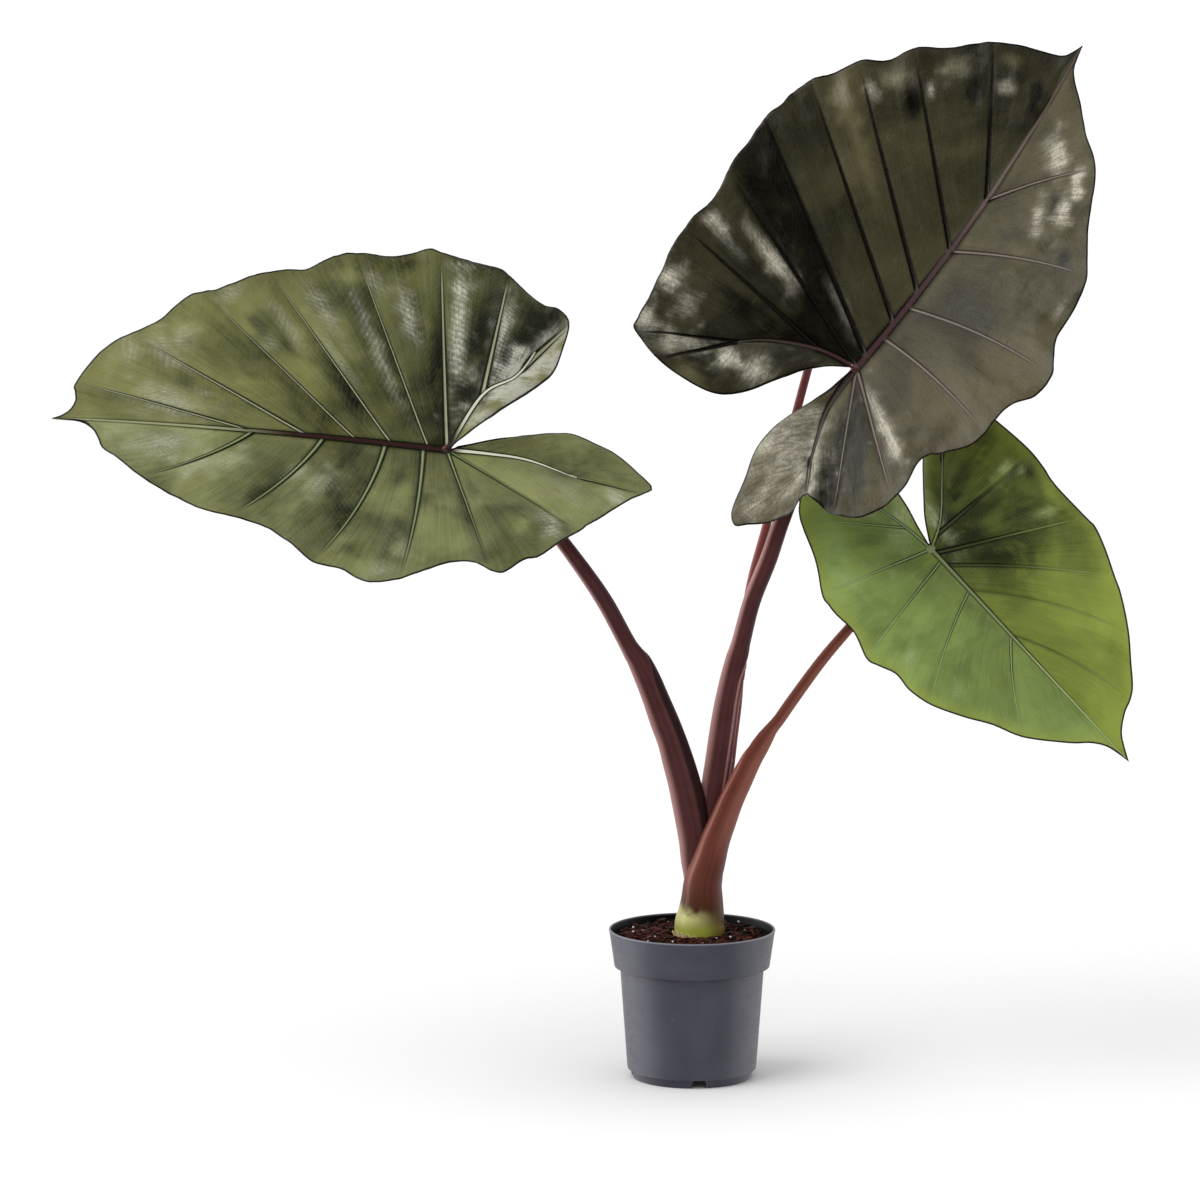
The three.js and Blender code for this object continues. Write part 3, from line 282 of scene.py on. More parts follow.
TOP_LEAF = {
    "seed": 17,
    "rib_width": 1.1,
    "crinkle": 2.6,
    "ripple": 2.0,
    "midrib_relief": 0.35,
    "attach": [163, -20, 727],
    "tip": [389.5, 20, 1048],
    "face": [-0.292, -0.902, 0.319],
    "bow": -16,
    "droop": 14,
    "fold_width": 16,
    "lobe_fold": 0.4,
    "lobe_back": 4,
    "pleat": 6,
    "wave": 4,
    "plus": {
        "fold": 20,
        "panels": [
            [0.2, 0.34, 1], [0.1, 0.34, 1], [0.06, 0.42, 1.1], [0.04, 0.35, 1.3], [0.04, 0.04, 1.3],
            [0.5, 0.25, 1.2], [0.5, 0.5, 1.1], [0.5, 0.34, 0.9], [0.5, 0.2, 0.9], [0.42, 0.22, 0.7],
        ],
        "lift": [-2, 2, -2, 0, 0, 0, 0, 0, 0, 0, 0],
        "vein_relief": -1.4,
        "puckers": [
            [2.55, 0.9, 12, 4.5], [2, 0.66, 11, 3.5], [3.3, 0.88, 11, 4.5], [0.85, 0.5, 14, 4],
            [1.2, 0.75, 14, 4], [1.7, 0.85, 10, -3], [3.8, 0.58, 12, 4.5], [3.6, 0.75, 16, 3],
            [4.7, 0.85, 12, 3], [5.4, 0.9, 12, 3.5], [6.6, 0.87, 12, 4], [7.7, 0.86, 14, 4.5],
            [7.3, 0.93, 8, -3], [8.45, 0.78, 13, 5], [8.2, 0.9, 8, -3.5], [8.9, 0.6, 12, 4],
            [9.3, 0.8, 10, 3],
        ],
        "patches": [
            [6.55, 0.85, 26, 8, 0.7], [6.6, 0.6, 40, 6, 0.35], [0.95, 0.92, 12, 20, 0.6],
            [7.8, 0.75, 14, 7, -0.5], [8.7, 0.72, 18, 7, -0.6], [9.55, 0.45, 20, 6, -0.5],
            [2.7, 0.4, 30, 14, -0.15], [4, 0.35, 40, 8, -0.2], [7.5, 0.9, 12, 16, 0.4],
            [8.5, 0.88, 10, 14, 0.4], [9.2, 0.88, 8, 12, 0.4], [3.7, 0.6, 40, 10, 0.3],
            [2.83, 0.47, 32, 8, -0.2],
        ],
        "painted_highlights": [
            [3.35, 0.92, 9, 7, 0.8], [3.3, 0.8, 22, 5, 0.25], [3.75, 0.68, 18, 5, 0.45],
            [3.8, 0.55, 20, 7, 1], [2.6, 0.92, 12, 13, 0.85], [2.45, 0.7, 10, 14, 0.35],
            [2.1, 0.93, 12, 12, 0.9], [1.6, 0.68, 18, 8, 0.55], [1.3, 0.5, 14, 8, 0.4],
            [0.9, 0.35, 10, 12, 1], [0.7, 0.62, 14, 12, 0.8], [4.85, 0.22, 25, 5, 0.25],
            [7.1, 0.87, 10, 6, 0.5], [8.13, 0.78, 6, 4, 0.7], [9.2, 0.68, 6, 10, 0.5],
            [8.5, 0.88, 10, 14, 0.18], [7.55, 0.9, 10, 16, 0.2], [6.55, 0.9, 18, 7, 0.25],
        ],
        "skew": 0,
        "thick": [0.8, 0.7, 0.9, 1, 1, 0.9, 0.9, 0.9, 0.9],
        "curve": 0,
        "lobe_rib": [[0, 0], [-6, 40], [-26, 83], [-46, 109]],
        "rows": [
            [0, -4, 5, 0.1], [-20, -15, 22, 0.25], [-40, -30, 39, 0.4], [-60, -51, 56, 0.55],
            [-80, -74, 71, 0.65], [-100, -93, 87, 0.8], [-120, -103, 104, 0.87], [-120, -107, 131, 0.95],
            [-120, -106, 165, 1], [-120, -95, 201, 2], [-120, -83, 204, 2.1], [-100, -61, 205, 2.35],
            [-80, -34, 208, 2.6], [-60, -12, 210, 2.8], [-40, 17, 208, 3], [-20, 54, 201, 3.5],
            [0, 88, 202, 4], [6, 126, 202, 4.6], [14, 152, 200, 5], [26, 170, 195, 5.3],
            [39, 187, 194, 5.6], [56, 208, 185, 6], [66, 219, 177, 6.3], [94, 251, 159, 7],
            [110, 266, 141, 7.4], [147, 294, 124, 8], [175, 312, 102, 8.4], [190, 335, 82, 8.7],
            [209, 346, 68, 9], [240, 359, 46, 9.3], [275, 367, 26, 9.5], [305, 374, 10, 9.7],
            [335, 382, 4.5, 9.85], [394, 394, 0, 10],
        ],
    },
    "minus": {
        "fold": 20,
        "panels": [
            [0.5, 0.6, 1.3], [0.6, 0.1, 1.2], [0.35, 0.4, 1.4], [0.42, 0.4, 1.1], [0.32, 0.42, 0.9],
            [0.32, 0.38, 0.9], [0.38, 0.46, 0.9], [0.36, 0.45, 0.7],
        ],
        "lift": [-7, 6, -7, 2, 0, 0, 0, 0, 0],
        "vein_relief": 1.4,
        "puckers": [
            [7.27, 0.63, 9, 3.5], [6.54, 0.58, 9, 3.5], [6.57, 0.8, 8, 3], [6.2, 0.7, 9, -3],
            [5.4, 0.85, 12, 3], [4.5, 0.9, 12, 3], [0.6, 0.6, 16, 4], [3.1, 0.55, 10, 3],
        ],
        "patches": [
            [6.7, 0.69, 5, 14, -0.4], [7, 0.55, 14, 8, -0.15], [6.1, 0.8, 8, 12, -0.5],
            [6.3, 0.4, 16, 8, -0.2], [1.95, 0.65, 42, 8, -0.8], [2.45, 0.55, 55, 11, -0.8],
            [5.2, 0.5, 20, 14, -0.15], [4.4, 0.6, 24, 10, -0.15],
        ],
        "painted_highlights": [
            [7.2, 0.66, 10, 20, 1], [6.95, 0.84, 6, 10, 0.9], [6.57, 0.58, 6, 14, 1],
            [6.6, 0.78, 7, 18, 1], [6.8, 0.86, 5, 10, 0.7], [3.2, 0.45, 45, 6, 0.5],
            [3.2, 0.5, 40, 8, 0.25], [1.25, 0.2, 34, 7, 0.6], [0.6, 0.5, 45, 45, 0.5],
            [0.53, 0.92, 14, 16, 0.5], [0.8, 0.72, 22, 12, 0.45], [0.9, 0.3, 28, 8, 0.35],
            [5.6, 0.92, 5, 12, 0.35], [3.2, 0.72, 22, 7, 0.6], [0.42, 0.35, 26, 10, 0.25],
        ],
        "skew": 0,
        "thick": [1.1, 1.1, 1.1, 1, 1, 1, 1.1],
        "curve": 0.08,
        "lobe_rib": [[0, 0], [-48, 1], [-84, -9], [-110, -19]],
        "rows": [
            [0, -8, 3, 0.1], [-20, -37, 11, 0.2], [-40, -73, 27, 0.35], [-60, -96, 36, 0.45],
            [-80, -121, 39, 0.55], [-95, -146, 34, 0.63], [-110, -173, 29, 0.7], [-110, -191, 24, 0.75],
            [-110, -199, 14, 0.8], [-110, -191, 3, 0.84], [-110, -179, -14, 0.89], [-110, -166, -25, 0.93],
            [-110, -156, -32, 0.97], [-110, -143, -31, 0.99], [-110, -134, -34, 1], [-95, -134, -41, 1.2],
            [-80, -134, -48, 1.4], [-60, -135, -54, 1.6], [-40, -136, -59, 1.75], [-20, -136, -64, 1.9],
            [0, -135, -69, 2], [0, -132, -80, 2.2], [0, -123, -98, 2.5], [0, -103, -115, 2.8],
            [0, -92, -121, 3], [0, -72, -126, 3.15], [0, -48, -123, 3.35], [6, -36, -128, 3.45],
            [14, -28, -139, 3.55], [26, -6, -163, 3.85], [39, 10, -170, 4], [47, 27, -172, 4.2],
            [56, 48, -177, 4.4], [66, 67, -192, 4.65], [77, 91, -197, 5], [90, 106, -189, 5.15],
            [104, 127, -176, 5.4], [124, 164, -172, 5.7], [147, 193, -165, 6], [175, 237, -131, 6.5],
            [209, 290, -100, 7], [240, 318, -64, 7.35], [275, 344, -35, 7.6], [305, 357, -19, 7.75],
            [335, 368, -9, 7.85], [360, 378, -5, 7.95], [394, 394, 0, 8],
        ],
    },
}

RIGHT_LEAF = {
    "seed": 29,
    "rib_width": 0.6,
    "crinkle": 1.6,
    "ripple": 1.0,
    "midrib_relief": 0.6,
    "attach": [241, 5, 542],
    "tip": [435, -70, 336],
    "face": [-0.16, -0.966, 0.201],
    "bow": 0,
    "droop": 10,
    "fold_width": 16,
    "lobe_fold": 0.7,
    "lobe_back": 4,
    "pleat": 3,
    "wave": 3.5,
    "plus": {
        "fold": 24,
        "panels": [
            [0.3, 0.4, 1], [0.2, 0.3, 1], [0.15, 0.3, 1], [0.2, 0.5, 1], [0.4, 0.75, 1],
            [0.6, 0.85, 0.8], [0.7, 0.9, 0.6],
        ],
        "lift": [3, -2, 0, 0, 0, 0, 0, 0],
        "vein_relief": -1.0,
        "puckers": [
            [1.92, 0.78, 10, 2.5], [2.8, 0.87, 10, 2.5], [1.5, 0.4, 12, 2],
        ],
        "patches": [
            [2.15, 0.16, 24, 14, -0.5], [1.6, 0.4, 30, 10, -0.2], [2.6, 0.93, 8, 10, 0.4],
            [1.95, 0.76, 12, 4, 0.5], [2.78, 0.82, 14, 4, 0.4], [2.5, 0.5, 12, 8, 0.25],
            [2.9, 0.16, 26, 6, -0.3], [3.6, 0.3, 26, 8, -0.2], [2.2, 0.9, 8, 8, -0.25],
        ],
        "painted_highlights": [
            [1.95, 0.76, 10, 5, 0.5], [2.78, 0.82, 12, 4, 0.45], [2.1, 0.85, 6, 4, 0.4],
            [0.35, 0.55, 44, 7, 0.6],
        ],
        "skew": 0.1,
        "thick": [0.8, 1.1, 1.1, 0.9, 0.7, 0.6],
        "curve": -0.1,
        "lobe_rib": [[0, 0], [-14, 26], [-41, 54], [-62, 74]],
        "rows": [
            [0, -7, 3.5, 0.1], [-15, -27, 16, 0.25], [-30, -44, 30, 0.4], [-50, -58, 42, 0.55],
            [-70, -71, 54, 0.65], [-95, -86, 70, 0.8], [-95, -94, 90, 0.9], [-95, -95, 109, 1],
            [-95, -88, 123, 1.15], [-70, -74, 132, 1.3], [-50, -50, 135, 1.5], [-30, -20, 138, 1.8],
            [-15, 5, 139, 2], [0, 26, 137, 2.3], [3, 44, 134, 2.5], [6, 90, 134, 3],
            [11, 104, 134, 3.25], [16, 125, 127, 3.6], [23, 152, 115, 4], [34, 170, 107, 4.3],
            [58, 202, 87, 5], [85, 225, 68, 5.5], [102, 242, 54, 5.8], [120, 250, 43, 6],
            [150, 255, 31, 6.3], [190, 264, 18, 6.6], [235, 273, 10.5, 6.8], [293, 293, 0, 7],
        ],
    },
    "minus": {
        "fold": 24,
        "panels": [
            [0.75, 0.8, 1], [0.8, 0.75, 1], [0.7, 0.75, 1], [0.6, 0.7, 1], [0.6, 0.75, 1],
            [0.6, 0.8, 0.8], [0.7, 0.85, 0.6],
        ],
        "lift": [2, -2, 1, 0, 0, 0, 0, 0],
        "vein_relief": 0.8,
        "puckers": [
            [4.3, 0.7, 14, 2], [2.9, 0.6, 12, 2], [5.2, 0.6, 12, -2],
        ],
        "patches": [
            [2.9, 0.78, 14, 14, 0.3], [3.5, 0.45, 24, 10, 0.15], [4.5, 0.5, 24, 8, 0.2],
            [2.4, 0.5, 20, 8, -0.15], [5.3, 0.6, 20, 10, -0.1], [4.05, 0.8, 14, 10, 0.15],
        ],
        "painted_highlights": [
            [2.9, 0.78, 12, 12, 0.25], [4.6, 0.8, 8, 8, 0.3], [5.3, 0.8, 8, 6, 0.25],
            [0.5, 0.5, 34, 12, 0.4], [1.9, 0.3, 20, 8, 0.2],
        ],
        "skew": -0.1,
        "thick": [0.8, 0.6, 0.7, 0.7, 0.6, 0.6],
        "curve": -0.08,
        "lobe_rib": [[0, 0], [-33, -4], [-70, -12], [-100, -22]],
        "rows": [
            [0, -9, 2.5, 0.1], [-15, -26, 6, 0.25], [-33, -50, 12, 0.45], [-55, -75, 15, 0.65],
            [-80, -100, 14, 0.85], [-100, -125, 9, 1], [-100, -145, -8, 1.2], [-100, -149, -34, 1.5],
            [-80, -141, -50, 1.75], [-55, -128, -64, 1.9], [-33, -112, -77, 2], [-15, -71, -93, 2.5],
            [0, -36, -112, 3], [3, -24, -114, 3.15], [6, -11, -115, 3.3], [11, 15, -114, 3.6],
            [16, 44, -122, 4], [23, 58, -118, 4.2], [34, 75, -111, 4.5], [46, 96, -112, 4.75],
            [58, 122, -106, 5], [85, 151, -91, 5.4], [102, 176, -75, 5.7], [120, 207, -60, 6],
            [150, 240, -31, 6.4], [190, 253, -16, 6.65], [235, 265, -7, 6.85], [265, 277, -3, 6.95],
            [293, 293, 0, 7],
        ],
    },
}

# Stalks, from the base up. A row is [x, y, z, half width, half depth] of the stalk and its sheath.
LEFT_STALK = [
    [5, 2, 158, 8, 7.5], [5, 3, 176, 10, 8.5], [5, 3, 202, 13, 9.5], [4, 3, 223, 15.5, 10],
    [3, 2, 244, 16.8, 10], [0, 2, 265, 17.5, 10], [-4, 1, 285, 17.3, 10], [-9, 0, 306, 16.6, 9.6],
    [-15, 0, 327, 16, 9.3], [-21, -1, 347, 15, 9.1], [-29, -2, 368, 14.7, 9], [-37, -3, 389, 13.6, 9],
    [-45, -4, 409, 13, 8.9], [-54, -5, 428, 11.8, 8.8], [-61, -5, 438, 9.9, 8.7], [-68, -5, 450, 8.8, 8.6],
    [-90, -7, 491, 8.5, 8.4], [-118, -8, 532, 7.6, 7.6], [-149, -7, 571, 6.8, 6.8],
    [-182, -5, 600, 6.1, 6.1], [-212, -6, 623, 5.5, 5.5], [-234, -14, 635, 5, 5],
    [-246.5, -26.5, 643, 4.7, 4.7],
]
# The open side of a sheath: [x, y, z, half width, half depth] of the hollow.
LEFT_SHEATH = [
    [26, 12, 285, 8, 6], [14, 9, 306, 10, 6.2], [6, 8.5, 327, 10.5, 6.2], [-2, 7, 347, 10, 6],
    [-11, 5.5, 368, 9.5, 5.6], [-21, 4, 389, 8.5, 5.2], [-31, 2.5, 409, 7.8, 4.8], [-43, 0.5, 428, 6, 4],
    [-51, -1, 438, 3, 2.4], [-57, -3, 446, 0.8, 0.8],
]
TOP_STALK = [
    [16, 10, 158, 7, 7], [16, 10, 176, 8.5, 8], [17, 9.5, 201, 10.5, 9], [18, 9, 222, 11.8, 9.6],
    [18.5, 8.5, 243, 13, 10], [19, 8, 264, 14, 10], [22, 8, 284, 14.6, 10], [25, 8, 305, 15, 10],
    [28, 8, 325, 15, 10], [31, 8, 346, 15, 10], [34, 8, 367, 14.8, 10], [37, 7, 387, 14.1, 9.8],
    [41, 6, 408, 13.4, 9.4], [45, 5, 429, 11.8, 9.2], [47.5, 4.5, 440, 10.4, 9], [50, 4, 451, 9.5, 8.9],
    [60, 2, 490, 9, 8.8], [76, 2, 531, 8.9, 8.7], [89, 4, 569, 8.4, 8.4], [106, 8, 612, 8, 8],
    [126, 10, 652, 7.6, 7.6], [145, 7, 689, 6.9, 6.9], [156.5, -3, 711, 6.2, 6.2],
    [162, -15.5, 723.5, 5.6, 5.6],
]
TOP_SHEATH = [
    [29, 9, 222, 7, 6], [32, 9.5, 243, 7.6, 6.6], [35, 10, 264, 8, 7.2], [38, 10, 284, 8.6, 7.8],
    [41, 10, 305, 8.6, 8], [44, 10, 325, 8.6, 8.2], [46, 10, 346, 8.4, 8.2], [49, 9.5, 367, 8.4, 8.2],
    [51, 8.5, 387, 8.4, 8], [54, 8, 408, 8, 7.4], [56, 7.5, 429, 6.4, 5.8], [57.5, 6.5, 440, 3.4, 3.2],
    [59, 5, 449, 0.8, 0.8],
]
NEW_STALK = [
    [24, 4, 158, 3.6, 3.6], [25, 6, 176, 3.8, 3.8], [27, 8, 201, 4, 4], [29, 9, 222, 4.2, 4.2],
    [31, 11, 250, 4.5, 4.5], [33.5, 13, 283, 4.6, 4.6], [38, 14, 313, 4.6, 4.6], [42, 14, 350, 4.6, 4.6],
    [46, 14.5, 384, 4.6, 4.6], [49, 15.5, 427, 4.6, 4.6], [53, 18, 468, 4.5, 4.5], [61, 21, 512, 4.5, 4.5],
    [74, 24, 560, 4.4, 4.4], [87, 27, 610, 4.4, 4.4], [99, 28, 656, 4.4, 4.4], [111, 28, 702, 4.3, 4.3],
    [119, 28, 732, 4.1, 4.1], [126.2, 28, 759.5, 3.8, 3.8],
]
RIGHT_STALK = [
    [7.5, 0, 141, 24.5, 22.5], [7.5, 0, 149, 25.6, 23.6], [7.5, 0, 158, 25.3, 23.4],
    [9, 0, 168, 23.8, 22.2], [10, -1, 182, 21.6, 20.5], [11, -3, 203, 19.2, 18.6], [17, -5, 224, 17, 16.5],
    [23, -7, 245, 15.2, 14.6], [31, -9, 266, 13.8, 12.6], [39, -11, 287, 12.8, 11.2],
    [49, -12, 308, 11.8, 10.2], [59, -12, 329, 11, 9.4], [66, -12, 340, 10, 8.6], [73, -12, 351, 8.6, 7.6],
    [80, -12, 361, 6.6, 6.6], [88, -12, 371, 6.1, 6.1], [101, -12, 390, 6, 6], [131, -10, 431, 5.6, 5.6],
    [164, -4, 469, 5.2, 5.2], [184, 1, 491, 5.1, 5.1], [207, 8, 513, 4.9, 4.9], [226, 13, 529, 4.6, 4.6],
    [240.3, 9.6, 540.6, 4.4, 4.4],
]
RIGHT_SHEATH = [
    [24, -7, 287, 7.5, 5.8], [36, -8, 308, 7.5, 5.8], [49, -9, 329, 6.2, 5], [57, -9.5, 340, 5, 4.2],
    [66, -10, 352, 3, 2.6], [73, -11, 361, 0.8, 0.8],
]
STALK_SIDES = 64

# The free edge of a sheath as seen in front: height of its tip, place across, strength of the painted
# highlight along it, and darkness of the wing beyond it
LEFT_EDGE = (446, 0.38, 0.08, 0.9)
TOP_EDGE = (449, 0.5, 1.0, 0.0)
RIGHT_EDGE = (361, -0.8, 0.8, 0.1)

# The unopened leaf is a rolled spear on the newest stalk.
SPEAR = [
    [126.2, 28, 759, 4, 4], [128, 28, 766, 5.2, 5.2], [131, 28, 780, 6.4, 6], [136, 29, 804, 7.2, 6.4],
    [142, 31, 832, 7, 6.2], [148, 33, 862, 6, 5.4], [153, 35, 890, 4.7, 4.2], [157, 37, 914, 3.3, 3],
    [160, 38, 934, 2, 2], [162, 39, 947, 1.1, 1.1],
]

# Stalks: growth from the last row to the joint, steps from row to row, and the rim of a sheath's open side,
# which carries a painted highlight, its place and width in radii of that opening
STALK_FLARE = 0.6
STALK_STEPS = 6
HOLLOW_RIM = 1.06
HOLLOW_RIM_WIDTH = 0.14
# The free edge: height over which it runs out at its tip, where it ends, how far round the front it fades,
# its width, the groove along it, and the width of the wing's blend, all but the first as parts of the half
# width
EDGE_TAPER = 45
EDGE_END = 1.15
EDGE_FADE = (-0.5, -0.2)
EDGE_WIDTH = 0.07
EDGE_GROOVE = 0.05
WING_WIDTH = 0.12
# The spear: steps from row to row, sides, turns of its free edge, the step there, and where its rim begins
SPEAR_STEPS = 8
SPEAR_SIDES = 40
SPEAR_TURNS = 1.3
SPEAR_STEP_IN = 0.14
SPEAR_RIM_FROM = 0.88

# Foot of the plant, and the papery strip round it: squares across and along, degrees round the foot,
# heights, half width and half depth there, and how far along it the edge is highest
CORM_CENTRE = (7.5, 0)
PAPERY_GRID = (60, 8)
PAPERY_TURN = (196, 266)
PAPERY_LOW = 145.3
PAPERY_HIGH = 153.2
PAPERY_HALF_WIDTH = 27.4
PAPERY_HALF_DEPTH = 25.4
PAPERY_THICKNESS = 0.5
PAPERY_PEAK = 0.3

# Nursery pot
POT_HEIGHT = 153
POT_WALL = 2.2
FOOT_HEIGHT = 9
FOOT_RADIUS = 61.5
BODY_BOTTOM_RADIUS = 66
BODY_TOP_RADIUS = 73.5
BAND_BOTTOM = 115
BAND_BOTTOM_RADIUS = 79.5
RIM_RADIUS = 85
PAD_RADIUS = 38
NOTCH_HEIGHT = 8.4
NOTCH_BOTTOM_WIDTH = 17.5
NOTCH_TOP_WIDTH = 12
NOTCH_TURN = 6
DRAIN_RADIUS = 3.5
DRAIN_CIRCLE = 49
DRAIN_SIDES = 28
POT_STEPS = 144
POT_SHARP_ANGLE = 38

# Soil: its top, the play to the pot wall, the rings of its top, and the height of its swells and lumps
SOIL_LEVEL = 145
SOIL_RADIUS = 79
SOIL_GAP = 0.4
SOIL_RINGS = 46
SOIL_STEPS = 128
SOIL_SWELL = 1.2
SOIL_LUMPS = 1.6
SOIL_LUMP_SIZE = 9
# Half width and half depth round the foot of the plant that stay free of loose pieces
FOOT_CLEAR = (26.5, 24.5)
# Loose pieces: their tilt, the most that they are raised, how many are made at a time, which keeps the
# making quick, and the ranges of their sizes
LOOSE_TILT = 0.45
LOOSE_RISE = 1.4
HANDFUL = 40
CRUMB_RADIUS = (0.7, 2.2)
CHIP_SIZES = ((4, 15), (2.5, 7), (1, 3))
CHIP_SPREADS = ((0.7, 1.15), (0.6, 1.2), (0.6, 1.3))
# A fibre's length, half thickness and bend, and the height of its middle
FIBRE_SIZES = ((7, 20), (0.25, 0.6), (-4, 4))
FIBRE_ARCH = 1.32
PERLITE_RADIUS = (0.8, 1.7)
PERLITE_ROUGH = 0.25
PERLITE_NOISE = 900

# Leaf skin: each noise has a scale, or one for each axis of the flow, its detail, roughness and distortion.
CLOUD = (11, 3, 0.55, 0.6)
BLOTCH = (34, 3, 0.6, 0.8)
DIMPLES = (75, 3, 0.55, 0.5)
PEBBLE = (280, 3, 0.7, 0.4)
GRAIN = (700, 2, 0.6)
STREAK = ((20, 2.2, 0), 3, 0.6, 1.1)
FINE_STREAK = ((70, 6, 0), 2, 0.6, 1.3)
WRINKLE = ((24, 9, 0), 4, 0.75, 2.2)
SILK = ((32, 0, 3), 4, 0.68, 1.3)
# The finest veins: how many there are along a line, how far they slant, and how far they wander
THREAD_COUNT = 30
THREAD_SLANT = 9
THREAD_WANDER = 2.2
FULL_TURN = 6.283
MOST_GLEAM = 0.92
# Where the parts of a drawn vein or rib end, in its half widths: full below the first, gone above the second
VEIN_CORE = (0.6, 0.95)
VEIN_LINE = (1.8, 2.6)
VEIN_SHADOW = (1.0, 4.5)
BACK_VEIN = (0.8, 1.6)
RIB_CORE = (0.65, 0.85)
RIB_LINE = (1.3, 1.7)
RIB_SHADOW = (1.2, 3.0)
RIB_CALM = (1.5, 8.0)
BACK_RIB = (0.8, 1.3)
# The same along a vein, from the rib at 0 to the margin at 1, and in from the margin in millimetres
VEIN_END = (0.8, 0.97)
MARGIN_LINE = (1.1, 2.2)
BORDER = (3, 16)
# Depths of the bumps in metres
STREAK_BUMP = 0.0009
FINE_BUMP = 0.00035
BROAD_BUMP = 0.0022
GRAIN_BUMP = 0.00004

# Stalk skin: heights in metres between which its parts change, and its colours
FOOT_ZONE = (0.164, 0.178)
LIME_ZONE = (0.153, 0.166)
BROWN_ZONE = (0.172, 0.204)
EDGE_ZONE = (0.176, 0.215)
# Heights over which painted light comes in on the right of the front
PALE_ZONE = (0.21, 0.27)
STALK_BROWN = (74, 44, 18)
WING_DARK = (26, 12, 13)
# The foot's lit and shaded colours: painted light and shade across its side
FOOT_PALE = (206, 204, 136)
FOOT_SHADED = (92, 70, 18)
FOOT_LIME = (156, 166, 52)
FOOT_LIME_SHADED = (118, 102, 40)


def clamp(value, low=0.0, high=1.0):
    return max(low, min(high, value))


def smoothstep(value, low, high):
    f = clamp((value - low) / (high - low))
    return f * f * (3 - 2 * f)


def lerp(start, end, f):
    return start + (end - start) * f


def bell(value, width, power=2):
    """1 at zero, falling off smoothly on both sides."""
    return math.exp(-((value / width) ** power))


def catmull(before, here, ahead, after, f):
    """The smooth way from here to ahead."""
    return 0.5 * (
        2 * here
        + (ahead - before) * f
        + (2 * before - 5 * here + 4 * ahead - after) * f * f
        + (3 * here - before - 3 * ahead + after) * f * f * f
    )


def along_rows(rows, q):
    """Every value of a row list, smoothly, at row number q."""
    i = min(int(q), len(rows) - 2)
    four = rows[max(i - 1, 0)], rows[i], rows[i + 1], rows[min(i + 2, len(rows) - 1)]
    return [catmull(*values, q - i) for values in zip(*four)]


def smooth_run(rows, steps):
    """The rows with so many smooth steps from each to the next."""
    return [along_rows(rows, q / steps) for q in range((len(rows) - 1) * steps + 1)]


def in_scene(name, bm):
    """The bmesh as an object in the scene."""
    mesh = bpy.data.meshes.new(name)
    bm.to_mesh(mesh)
    bm.free()
    piece = bpy.data.objects.new(name, mesh)
    bpy.context.scene.collection.objects.link(piece)
    return piece


def face_outward(bm):
    bmesh.ops.recalc_face_normals(bm, faces=bm.faces[:])


def finished(name, bm, material, slot, *nodes, smooth_angle=None):
    """The bmesh as a shown piece of the plant, riding on its one body."""
    face_outward(bm)
    piece = in_scene(name, bm)
    piece.data.materials.append(material)
    piece.data.shade_smooth()
    if smooth_angle is not None:
        piece.data.set_sharp_from_angle(angle=math.radians(smooth_angle))
    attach(piece, "root")
    if nodes:
        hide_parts(*nodes)
    return piece


def moved_grid(bm, across, along, place):
    """A grid of across by along squares, each corner handed to place with its column and row."""
    made = bmesh.ops.create_grid(bm, x_segments=across, y_segments=along, size=0.5)
    for vert in made["verts"]:
        place(vert, round((vert.co.x + 0.5) * across), round((vert.co.y + 0.5) * along))


def close_tube(bm, verts, gap):
    """Joins the seam of a tube and fills its ends."""
    bmesh.ops.remove_doubles(bm, verts=verts, dist=gap)
    ends = [seam for seam in bm.edges if seam.is_boundary]
    bmesh.ops.holes_fill(bm, edges=ends, sides=0)


def turned(profile, steps):
    """A half section of radii and heights, spun round the Z axis into a closed solid."""
    bm = bmesh.new()
    verts = [bm.verts.new((r * MM, 0, z * MM)) for r, z in profile]
    edges = [bm.edges.new(pair) for pair in zip(verts, verts[1:])]
    bmesh.ops.spin(
        bm, geom=verts + edges, cent=(0, 0, 0), axis=(0, 0, 1), angle=2 * math.pi, steps=steps,
        use_merge=True,
    )
    bmesh.ops.remove_doubles(bm, verts=bm.verts[:], dist=WELD)
    return bm


